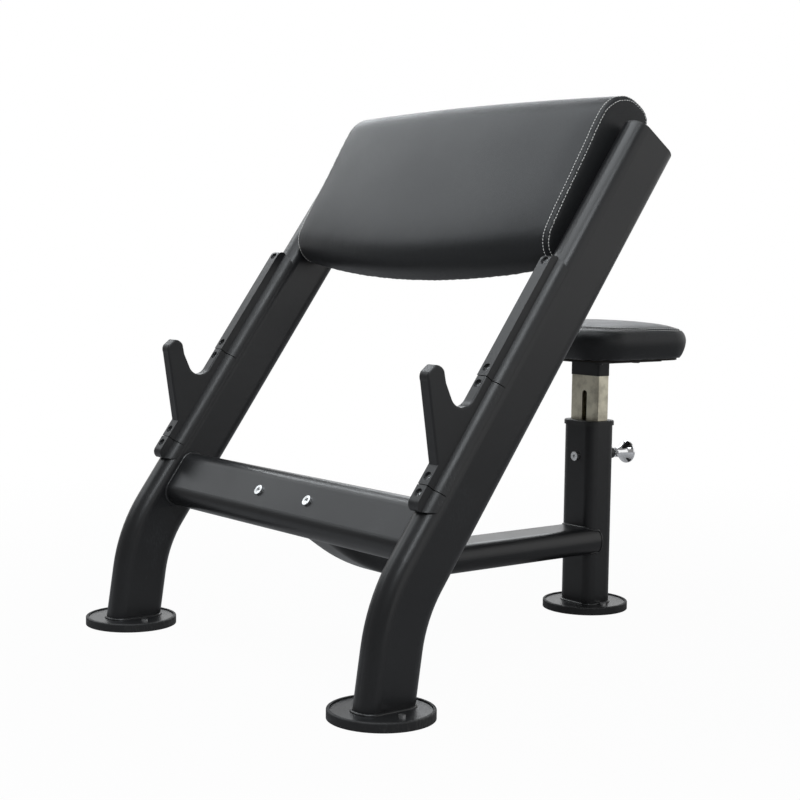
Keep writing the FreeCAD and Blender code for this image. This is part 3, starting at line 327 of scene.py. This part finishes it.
# Screws, nuts, sleeves, the pull pin and its housing's cap: steel, bright zinc plated, slightly clouded
# by the plating bath, with a grainy dull bloom in places.
ZINC_BRIGHT = (0.82, 0.83, 0.84, 1)
ZINC_BLOOM = (0.62, 0.62, 0.61, 1)
zinc, tree, skin = new_finish("bright_zinc", Metallic=1.0)
peeled = use_group(tree, peel, Ripples=1500.0, Clouds=160.0)
tree.links.new(blend_colour(tree, spread(tree, peeled.outputs["Cloud"], 0.4, 0.7, 0.0, 1.0), ZINC_BRIGHT,
                            ZINC_BLOOM), skin.inputs["Base Color"])
tree.links.new(spread(tree, peeled.outputs["Cloud"], 0.35, 0.7, 0.2, 0.42), skin.inputs["Roughness"])
emboss(tree, skin, peeled.outputs["Height"], 0.00008, 0.3)
give(zinc, "foot_screws", "spine_screws", "spine_nuts", "spine_sleeves", "guide_screw", "guide_nut",
     "pad_tee_nuts", "guard_screws", "guard_nuts", "seat_tee_nuts", "pull_pin", "pin_housing_cap")

# Pin spring: a coil of plated wire between the pin's collar and the cap of its housing, which closes up
# as the knob is drawn. Here the CAD coil is copied as it stands, at one length.
coil = put_in("pin_spring_coil", nodes["pin_spring"].data.copy())
coil.data.materials.clear()
coil.data.materials.append(zinc)
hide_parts("pin_spring")
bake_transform(coil)

# Seat and pad bolts: hexagon heads under the seat and behind the pad, black zinc plated, with the
# plating thin and browner in scattered scuffed patches.
BLACK_ZINC = (0.020, 0.020, 0.021, 1)
BLACK_ZINC_THIN = (0.085, 0.078, 0.070, 1)
dark_zinc = rubbed_finish("black_zinc", BLACK_ZINC, BLACK_ZINC_THIN, ripples=1300.0, clouds=180.0,
                          fineness=260.0, bareness=0.30, rough=(0.36, 0.52), relief=(0.00008, 0.3),
                          Metallic=0.6, Specular_IOR_Level=0.4)
give(dark_zinc, "seat_bolts", "pad_bolts")

# Top caps, collar, foot plug and stop band: injection-moulded black polypropylene pushed into or over
# the tubes, with a fine spark-eroded texture.
PLASTIC = (0.0135, 0.0135, 0.0135, 1)
PLASTIC_PALE = (0.024, 0.024, 0.024, 1)
plastic, tree, skin = new_finish("black_polypropylene", Specular_IOR_Level=0.45)
peeled = use_group(tree, peel, Ripples=1400.0, Clouds=40.0)
tree.links.new(blend_colour(tree, spread(tree, peeled.outputs["Cloud"], 0.35, 0.75, 0.0, 1.0), PLASTIC,
                            PLASTIC_PALE), skin.inputs["Base Color"])
tree.links.new(spread(tree, peeled.outputs["Cloud"], 0.3, 0.7, 0.42, 0.55), skin.inputs["Roughness"])
emboss(tree, skin, peeled.outputs["Height"], 0.00018, 0.45)
give(plastic, "left_top_cap", "right_top_cap", "post_collar", "seat_post_plug", "post_stop_band")

# Pull pin housing: a turned steel barrel welded to the back of the post, brushed with satin black
# paint by hand, so its coat is thicker and rougher than the powder coat.
BARREL = (0.0125, 0.0125, 0.013, 1)
BARREL_RUB = (0.05, 0.05, 0.05, 1)
barrel_paint = rubbed_finish("barrel_paint", BARREL, BARREL_RUB, ripples=260.0, clouds=60.0, fineness=140.0,
                             bareness=0.28, rough=(0.38, 0.55), relief=(0.0003, 0.4), Specular_IOR_Level=0.5)
give(barrel_paint, "pin_housing")

# Pull knob: turned steel trumpet, polished and chromed, smudged by fingers.
CHROME_BRIGHT = (0.95, 0.95, 0.96, 1)
CHROME_SMUDGED = (0.86, 0.86, 0.87, 1)
chrome, tree, skin = new_finish("polished_chrome", Metallic=1.0)
smudge = use_group(tree, peel, Ripples=700.0, Clouds=90.0)
tree.links.new(blend_colour(tree, smudge.outputs["Cloud"], CHROME_BRIGHT, CHROME_SMUDGED),
               skin.inputs["Base Color"])
tree.links.new(spread(tree, smudge.outputs["Cloud"], 0.4, 0.7, 0.08, 0.18), skin.inputs["Roughness"])
emboss(tree, skin, smudge.outputs["Height"], 0.00003, 0.2)
give(chrome, "pull_knob")

# Sliding seat post: cold-drawn rectangular tube, brushed along its length and nickel plated a warm
# grey, streaked and dulled where the collar and the pin have rubbed it.
NICKEL = (0.70, 0.66, 0.53, 1)
NICKEL_DULL = (0.42, 0.39, 0.31, 1)
nickel, tree, skin = new_finish("satin_nickel", Metallic=1.0)
place = add(tree, "TexCoord").outputs["Object"]
drawn_out = add(tree, "Mapping", sockets={"Vector": place, "Scale": (1.0, 1.0, 0.035)})
brushing = add(tree, "TexNoise", sockets={
    "Vector": drawn_out.outputs["Vector"], "Scale": 900.0, "Detail": 3.0, "Roughness": 0.6})
stains = add(tree, "TexNoise", sockets={"Vector": place, "Scale": 38.0, "Detail": 5.0, "Roughness": 0.6})
dulled = spread(tree, stains.outputs["Fac"], 0.42, 0.68, 0.0, 1.0)
tree.links.new(blend_colour(tree, dulled, NICKEL, NICKEL_DULL), skin.inputs["Base Color"])
tree.links.new(spread(tree, stains.outputs["Fac"], 0.3, 0.7, 0.3, 0.46), skin.inputs["Roughness"])
emboss(tree, skin, brushing.outputs["Fac"], 0.00006, 0.35)
give(nickel, "seat_post")

# Seat board and pad board: cross-laid plywood, sawn to shape and stained near black, with the plies
# showing as bands at the edges and a coarse open grain on the faces.
PLY_DARK = (0.014, 0.0125, 0.011, 1)
PLY_PALE = (0.040, 0.033, 0.026, 1)
PAD_LEAN = math.radians(31)


def stained_ply(name, turn):
    """Plywood whose thickness runs along Z after a turn about X."""
    ply, tree, skin = new_finish(name, Specular_IOR_Level=0.3)
    stock = add(tree, "Mapping", sockets={
        "Vector": add(tree, "TexCoord").outputs["Object"], "Rotation": (turn, 0, 0)}).outputs["Vector"]
    plies = add(tree, "TexWave", {"bands_direction": "Z"}, {
        "Vector": stock, "Scale": 75.0, "Distortion": 0.6})
    long_grain = add(tree, "Mapping", sockets={
        "Vector": stock, "Scale": (0.05, 1.0, 1.0)}).outputs["Vector"]
    grain = add(tree, "TexNoise", sockets={
        "Vector": long_grain, "Scale": 320.0, "Detail": 6.0, "Roughness": 0.7})
    both = add(tree, "Math", {"operation": "MULTIPLY"}, {
        0: plies.outputs["Fac"], 1: grain.outputs["Fac"]})
    tree.links.new(blend_colour(tree, both.outputs[0], PLY_DARK, PLY_PALE), skin.inputs["Base Color"])
    tree.links.new(spread(tree, grain.outputs["Fac"], 0.3, 0.7, 0.62, 0.85), skin.inputs["Roughness"])
    emboss(tree, skin, grain.outputs["Fac"], 0.0003, 0.5)
    return ply


give(stained_ply("seat_ply", 0.0), "seat_board")
give(stained_ply("pad_ply", PAD_LEAN - math.pi / 2), "pad_board")

# Seat cushion: moulded foam under a sewn cover of grained black vinyl. The cover is a top panel and
# a side band joined by a felled seam with a row of white thread on each side of it, pulled down
# over the board, which holds the lower edge.
SEAT_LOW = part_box("seat_cushion")[0]
VINYL = (0.0190, 0.0200, 0.0216, 1)
# the darker vinyl colour is painted shade in the grooves between the grain's pebbles
VINYL_CREASE_SHADE = (0.0085, 0.0089, 0.0095, 1)
PORE_SHARE, MOTTLE_SHARE, MOTTLE_LEAST = 0.3, 0.35, 0.72
vinyl, tree, skin = new_finish("grained_vinyl", Specular_IOR_Level=0.30, Sheen_Weight=0.05,
                               Sheen_Roughness=0.4)
place = add(tree, "TexCoord").outputs["Object"]
pebbles = add(tree, "TexVoronoi", {"feature": "DISTANCE_TO_EDGE"}, {"Vector": place, "Scale": 620.0})
creases = spread(tree, pebbles.outputs["Distance"], 0.0, 0.16, 0.0, 1.0)
pores = add(tree, "TexNoise", sockets={"Vector": place, "Scale": 1700.0, "Detail": 2.0})
mottle = add(tree, "TexNoise", sockets={"Vector": place, "Scale": 6.0, "Detail": 3.0})
relief = add(tree, "Math", {"operation": "MULTIPLY_ADD"}, {
    0: pores.outputs["Fac"], 1: PORE_SHARE, 2: creases})
tint = add(tree, "Math", {"operation": "MULTIPLY_ADD"}, {
    0: mottle.outputs["Fac"], 1: MOTTLE_SHARE, 2: MOTTLE_LEAST})
# painted shade: the grooves between the pebbles are coloured darker, multiplied by a random mottle in tone
crease_shade_and_tone = add(tree, "Math", {"operation": "MULTIPLY", "use_clamp": True}, {
    0: creases, 1: tint.outputs[0]})
tree.links.new(blend_colour(tree, crease_shade_and_tone.outputs[0], VINYL_CREASE_SHADE, VINYL), skin.inputs["Base Color"])
tree.links.new(spread(tree, mottle.outputs["Fac"], 0.3, 0.7, 0.40, 0.48), skin.inputs["Roughness"])
emboss(tree, skin, relief.outputs[0], 0.00016, 0.4)

THREAD_PALE = (0.86, 0.85, 0.82, 1)
THREAD_GREY = (0.60, 0.59, 0.57, 1)
thread, tree, skin = new_finish("white_thread", Specular_IOR_Level=0.3, Sheen_Weight=0.2)
twist = use_group(tree, peel, Ripples=2600.0, Clouds=700.0)
tree.links.new(blend_colour(tree, twist.outputs["Cloud"], THREAD_GREY, THREAD_PALE), skin.inputs["Base Color"])
tree.links.new(spread(tree, twist.outputs["Cloud"], 0.3, 0.7, 0.6, 0.8), skin.inputs["Roughness"])
emboss(tree, skin, twist.outputs["Height"], 0.0001, 0.5)


def settle(piece):
    """Make what the modifiers give the piece's own mesh."""
    mesh = bpy.data.meshes.new_from_object(piece.evaluated_get(bpy.context.evaluated_depsgraph_get()))
    piece.modifiers.clear()
    piece.data = mesh


FINE_VOXEL = 0.003
ASKEW = Euler((0.5, 0.4, 0.6)).to_matrix().to_4x4()
PRESSURE, BLOW_FRAMES, TAUT_PASSES = 4.0, 20, 25


def plump(name, node, draw_in, voxel, ease_steps, lip_steps, most, held):
    """A cushion blown up under its cover from the CAD form, its held points kept on the board."""
    form = bmesh.new()
    form.from_mesh(nodes[node].data)
    bmesh.ops.remove_doubles(form, verts=form.verts, dist=0.00001)
    for point in form.verts:
        point.co -= point.normal * draw_in
    # laid askew to the voxels, so that no edge runs along them and comes out stepped
    bmesh.ops.transform(form, matrix=ASKEW, verts=form.verts)
    piece = put_in(name, mesh_of(name, form))
    # sharp foam edges round off under the cover: a fine skin smoothed first, then the working skin
    for size, passes in zip((FINE_VOXEL, voxel), ease_steps):
        even = piece.modifiers.new("even_skin", "REMESH")
        even.mode = "VOXEL"
        even.voxel_size = size
        ease = piece.modifiers.new("ease", "SMOOTH")
        ease.factor = 0.5
        ease.iterations = passes
        settle(piece)
    piece.data.transform(ASKEW.inverted())
    pins = piece.vertex_groups.new(name="held")
    pins.add([point.index for point in piece.data.vertices if held(point.co)], 1.0, "REPLACE")
    lip = piece.modifiers.new("lip", "SMOOTH")
    lip.vertex_group = "held"
    lip.factor = 0.5
    lip.iterations = lip_steps
    settle(piece)
    beside = [[] for _ in piece.data.vertices]
    for edge in piece.data.edges:
        one, other = edge.vertices
        beside[one].append(other)
        beside[other].append(one)
    skin = [point.co.copy() for point in piece.data.vertices]
    outward = [point.normal.copy() for point in piece.data.vertices]
    filling = piece.modifiers.new("filling", "CLOTH")
    filling.settings.vertex_group_mass = "held"
    filling.settings.use_pressure = True
    filling.settings.uniform_pressure_force = PRESSURE
    filling.settings.effector_weights.gravity = 0.0
    for number in range(1, BLOW_FRAMES + 1):
        scene.frame_set(number)
    blown = piece.evaluated_get(bpy.context.evaluated_depsgraph_get()).data
    swell = [max(0.0, (point.co - spot).dot(way))
             for point, spot, way in zip(blown.vertices, skin, outward)]
    piece.modifiers.remove(filling)
    scene.frame_set(1)
    # the cover is taut, so the swell runs evenly across it
    for _ in range(TAUT_PASSES):
        swell = [(rise + sum(swell[near] for near in around)) / (1 + len(around))
                 for rise, around in zip(swell, beside)]
    for point, spot, way, rise in zip(piece.data.vertices, skin, outward, swell):
        point.co = spot + way * (most * rise / (most + rise))
    finer = piece.modifiers.new("finer", "SUBSURF")
    finer.levels = finer.render_levels = 1
    settle(piece)
    piece.vertex_groups.clear()
    piece.data.materials.clear()
    piece.data.materials.append(vinyl)
    piece.data.shade_smooth()
    return piece


def sewn_line(piece, point, normal):
    """The line where a plane meets a cushion's skin, as points in order."""
    form = bmesh.new()
    form.from_mesh(piece.data)
    whole = form.verts[:] + form.edges[:] + form.faces[:]
    cut = bmesh.ops.bisect_plane(form, geom=whole, dist=0.000001, plane_co=point, plane_no=normal)["geom_cut"]
    # kept in the cut's own order, so that the line starts at the same point in every run
    left = dict.fromkeys(edge for edge in cut if isinstance(edge, bmesh.types.BMEdge))
    longest = []
    while left:
        edge = next(iter(left))
        del left[edge]
        line, tip = [edge.verts[0].co.copy()], edge.verts[1]
        while True:
            line.append(tip.co.copy())
            ahead = next((other for other in tip.link_edges if other in left), None)
            if ahead is None:
                break
            del left[ahead]
            tip = ahead.other_vert(tip)
        if len(line) > len(longest):
            longest = line
    form.free()
    return longest[:-1]


SEAM_STEP, ROW_STEP = 0.0012, 0.003


def sink_seam(piece, line, depth, width):
    """Draw the skin down along a seam, with small puckers."""
    knots = even_steps(line, SEAM_STEP)
    near = KDTree(len(knots))
    for number, knot in enumerate(knots):
        near.insert(knot, number)
    near.balance()
    normals = [point.normal.copy() for point in piece.data.vertices]
    for point, outward in zip(piece.data.vertices, normals):
        _, number, gap = near.find(point.co)
        if gap < width * 3:
            pucker = 1 + 0.35 * math.sin(number * 0.9) + 0.3 * noise.noise(point.co * 90)
            point.co -= outward * depth * pucker * math.exp(-(gap / width) ** 2)
    piece.data.update()


def skin_of(piece):
    """A cushion's skin as a tree that finds its nearest point."""
    return BVHTree.FromPolygons([point.co for point in piece.data.vertices],
                                [face.vertices[:] for face in piece.data.polygons])


def beside_seam(piece, line, gap):
    """A line moved sideways over a cushion's skin, upwards or downwards."""
    lie = skin_of(piece)
    knots = even_steps(line, ROW_STEP)
    moved = []
    for before, spot, after in zip(knots[-1:] + knots[:-1], knots, knots[1:] + knots[:1]):
        over = lie.find_nearest(spot)[1].cross(after - before).normalized()
        moved.append(spot + over * (gap if over.z > 0 else -gap))
    return moved


THREAD_PROUD = 0.22


def stitches(name, piece, line, wanted, body, pitch=0.0054, length=0.0044, thick=0.0015):
    """A row of lockstitches lying on a cushion's skin along a line."""
    lie = skin_of(piece)
    holes = even_steps(line, pitch)
    row = bmesh.new()
    for here, there in zip(holes, holes[1:] + holes[:1]):
        spot, outward, _, _ = lie.find_nearest((here + there) / 2)
        if not wanted(spot):
            continue
        run = (there - here).normalized()
        over = outward.cross(run).normalized()
        up = run.cross(over)
        turn = Matrix((run * length / 2, over * thick / 2, up * thick / 2)).transposed().to_4x4()
        bmesh.ops.create_uvsphere(row, u_segments=6, v_segments=4, radius=1.0,
                                  matrix=Matrix.Translation(spot + up * thick * THREAD_PROUD) @ turn)
    bmesh.ops.recalc_face_normals(row, faces=row.faces)
    threads = put_in(name, mesh_of(name, row))
    threads.data.materials.append(thread)
    threads.data.shade_smooth()
    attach(threads, body)


SEAT_SEAM = Vector((0, 0.361, SEAT_LOW.z + 0.0570))
SEAT_SEAM_FALL = math.radians(1.8)
SEAT_ROW_GAP = 0.0032
SEAT_HELD = 0.014
seat = plump("seat_upholstery", "seat_cushion", draw_in=0.0004, voxel=0.004, ease_steps=(4, 3), lip_steps=2,
             most=0.005, held=lambda spot: spot.z < SEAT_LOW.z + SEAT_HELD)
seam_up = Vector((0, math.sin(SEAT_SEAM_FALL), math.cos(SEAT_SEAM_FALL)))
seat_seam = sewn_line(seat, SEAT_SEAM, seam_up)
upper_row = beside_seam(seat, seat_seam, SEAT_ROW_GAP)
lower_row = beside_seam(seat, seat_seam, -SEAT_ROW_GAP)
sink_seam(seat, seat_seam, depth=0.0010, width=0.0025)
stitches("seat_upper_stitches", seat, upper_row, lambda spot: True, "seat")
stitches("seat_lower_stitches", seat, lower_row, lambda spot: True, "seat")
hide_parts("seat_cushion")
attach(seat, "seat")

# Arm pad cushion: thick foam on the pad board, rolled over its top edge, in the same vinyl. One panel
# wraps the face and the roll, and an end panel closes each end, with a seam between two rows of
# white thread. It is glued flat to the board and hangs free of the uprights.
PAD_FACE = Vector((0, -0.0165, 0.807))
PAD_BACKWARD = Vector((0, math.cos(PAD_LEAN), -math.sin(PAD_LEAN)))
PAD_UPWARD = Vector((0, math.sin(PAD_LEAN), math.cos(PAD_LEAN)))
PAD_THICK = 0.061
PAD_SHELF = 0.100
PAD_END = 0.336
PAD_CUT_INSET, PAD_CUT_STEP = 0.020, 0.002
FACE_ROW_SHIFT, END_ROW_SHIFT, END_ROW_INSET = 0.0125, 0.024, 0.0062


def near_board(spot, depth, rise):
    """Whether a point of the pad lies against its board, with a margin forward and above."""
    back, up = (spot - PAD_FACE).dot(PAD_BACKWARD), (spot - PAD_FACE).dot(PAD_UPWARD)
    return back > PAD_THICK - depth and up < PAD_SHELF + rise


def shows(spot):
    """Whether a stitch lies where the board doesn't hide it."""
    return not near_board(spot, depth=0.010, rise=0.012)


pad = plump("pad_upholstery", "pad_cushion", draw_in=0.0008, voxel=0.0055, ease_steps=(7, 5), lip_steps=16,
            most=0.010, held=lambda spot: near_board(spot, depth=0.007, rise=0.007))
for side, sign in (("left", -1), ("right", 1)):
    across = SIDE_AXIS * sign
    outer = even_steps(sewn_line(pad, across * (PAD_END - PAD_CUT_INSET), across), PAD_CUT_STEP)
    lie = skin_of(pad)
    seam = [spot + across * PAD_CUT_INSET for spot in outer]
    face_row = [spot + across * FACE_ROW_SHIFT for spot in outer]
    end_row = [spot - lie.find_nearest(spot)[1] * END_ROW_INSET + across * END_ROW_SHIFT for spot in outer]
    sink_seam(pad, seam, depth=0.0018, width=0.003)
    stitches(side + "_face_stitches", pad, face_row, shows, "frame")
    stitches(side + "_end_stitches", pad, end_row, shows, "frame")
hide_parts("pad_cushion")
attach(pad, "frame")

# Guards and bar hooks: glass-filled nylon mouldings screwed over the front of each upright to take
# the knocks of the bar, with a fine even grain and pale rubbed streaks where a bar has dragged.
NYLON = (0.0150, 0.0153, 0.0160, 1)
NYLON_RUB = (0.045, 0.045, 0.046, 1)
nylon = rubbed_finish("grained_nylon", NYLON, NYLON_RUB, ripples=1100.0, clouds=22.0, fineness=90.0,
                      bareness=0.36, rough=(0.33, 0.42), relief=(0.00012, 0.35), Specular_IOR_Level=0.42)
give(nylon, "left_upper_guard", "right_upper_guard", "left_bar_hook", "right_bar_hook", "left_lower_guard",
     "right_lower_guard")

# Studio: a pale paper floor and a white paper wall round the back and both sides. The soft boxes are a
# broad one overhead, one high on the left with a narrow strip beside it, a wide one behind on the
# left and one above the camera, in a dim even room.
PAPER = (0.34, 0.34, 0.35, 1)
PAPER_FIBRE = (0.38, 0.38, 0.39, 1)
LAMP_WHITE = (0.92, 0.965, 1.0)
SHADOW_NEAR, SHADOW_GONE = 0.7, 2.2
FLOOR_RADIUS = 9.0
WALL_FOOT, WALL_HEIGHT, WALL_SWEEP = Vector((4.6, -1.2, 0.0)), 4.0, math.radians(210)
ROOM_LIGHT, ROOM_IN_MIRRORS = 0.17, 0.08


def seen_as_page(tree, in_mirrors):
    """How far a ray sees the white of the page: the lens and glass fully, shiny surfaces in part."""
    path = add(tree, "LightPath")
    through = add(tree, "Math", {"operation": "MAXIMUM"}, {
        0: path.outputs["Is Camera Ray"], 1: path.outputs["Is Transmission Ray"]})
    mirrored = add(tree, "Math", {"operation": "MULTIPLY"}, {
        0: path.outputs["Is Glossy Ray"], 1: in_mirrors})
    return add(tree, "Math", {"operation": "MAXIMUM"}, {
        0: through.outputs[0], 1: mirrored.outputs[0]}).outputs[0]


def paper(name, near_share, in_mirrors):
    """Pale paper that reads as the white of the page, with the object's shadow kept near the middle."""
    sheet = bpy.data.materials.new(name)
    sheet.use_nodes = True
    tree = sheet.node_tree
    tree.nodes.clear()
    place = add(tree, "TexCoord").outputs["Object"]
    away = add(tree, "VectorMath", {"operation": "LENGTH"}, {0: place}).outputs["Value"]
    share = spread(tree, away, SHADOW_NEAR, SHADOW_GONE, near_share, 1.0)
    part = add(tree, "Math", {"operation": "MULTIPLY"}, {0: seen_as_page(tree, in_mirrors), 1: share})
    fibre = add(tree, "TexNoise", sockets={"Vector": place, "Scale": 30.0, "Detail": 4.0})
    lit = add(tree, "BsdfDiffuse", sockets={
        "Color": blend_colour(tree, fibre.outputs["Fac"], PAPER, PAPER_FIBRE)})
    page = add(tree, "Emission", sockets={"Color": (1, 1, 1, 1), "Strength": 1.0})
    mixed = add(tree, "MixShader", sockets={0: part.outputs[0], 1: lit.outputs[0], 2: page.outputs[0]})
    add(tree, "OutputMaterial", sockets={"Surface": mixed.outputs[0]})
    return sheet


def stage_piece(name, form, material):
    piece = put_in(name, mesh_of(name, form))
    piece.data.materials.append(material)


ground = bmesh.new()
bmesh.ops.create_circle(ground, cap_ends=True, segments=96, radius=FLOOR_RADIUS)
stage_piece("floor", ground, paper("floor_paper", 0.97, 0.12))

wall = bmesh.new()
corner = wall.verts.new(WALL_FOOT)
top = wall.verts.new(WALL_FOOT + UP_AXIS * WALL_HEIGHT)
edge = wall.edges.new((corner, top))
bmesh.ops.spin(wall, geom=[corner, top, edge], cent=(0, 0, 0), axis=UP_AXIS, angle=WALL_SWEEP, steps=56)
stage_piece("wall", wall, paper("wall_paper", 1.0, 1.0))

room = bpy.data.worlds.new("white_room")
room.use_nodes = True
tree = room.node_tree
tree.nodes.clear()
even_light = add(tree, "Background", sockets={"Color": (1, 1, 1, 1), "Strength": ROOM_LIGHT})
white_wall = add(tree, "Background", sockets={"Color": (1, 1, 1, 1), "Strength": 1.0})
shown = add(tree, "MixShader", sockets={
    0: seen_as_page(tree, ROOM_IN_MIRRORS), 1: even_light.outputs[0], 2: white_wall.outputs[0]})
add(tree, "OutputWorld", sockets={"Surface": shown.outputs[0]})
scene.world = room


def soft_box(name, place, aim, size, power):
    lamp = bpy.data.lights.new(name, "AREA")
    lamp.shape = "RECTANGLE"
    lamp.size, lamp.size_y = size
    lamp.energy = power
    lamp.color = LAMP_WHITE
    stand = put_in(name, lamp)
    stand.location = place
    stand.rotation_euler = (Vector(aim) - Vector(place)).to_track_quat("-Z", "Y").to_euler()


soft_box("overhead_box", (-0.2, -0.6, 3.0), (0.0, 0.0, 0.4), (2.2, 2.2), 52.0)
soft_box("left_box", (-2.6, -1.5, 2.3), (0.0, 0.0, 0.6), (1.8, 1.8), 14.0)
soft_box("strip_box", (-2.05, -0.15, 2.55), (0.3, 0.0, 0.7), (0.35, 1.8), 15.0)
soft_box("back_box", (-2.6, 2.0, 2.2), (0.0, 0.0, 0.6), (2.6, 1.0), 30.0)
soft_box("front_box", (1.7, -1.5, 2.5), (0.0, -0.1, 0.5), (1.2, 1.2), 36.0)

# Camera: a short telephoto lens at knee height, in front on the right, where the photograph was taken.
LENS_AT = Vector((2.1554, -1.7971, 0.6556))
YAW, PITCH, ROLL = math.radians(51.8), math.radians(5.24), math.radians(0.787)
ahead = Vector((-math.sin(YAW) * math.cos(PITCH), math.cos(YAW) * math.cos(PITCH), -math.sin(PITCH)))
right = Vector((math.cos(YAW), math.sin(YAW), 0))
above = right.cross(ahead)
lens_right = right * math.cos(ROLL) + above * math.sin(ROLL)
lens_up = above * math.cos(ROLL) - right * math.sin(ROLL)
lens = bpy.data.cameras.new("camera")
lens.sensor_width = 36.0
lens.lens = 73.145
lens.shift_y = 0.005
camera = put_in("camera", lens)
turn = Matrix((lens_right, lens_up, -ahead)).transposed().to_4x4()
camera.matrix_world = Matrix.Translation(LENS_AT) @ turn
scene.camera = camera
scene.view_settings.view_transform = "Standard"
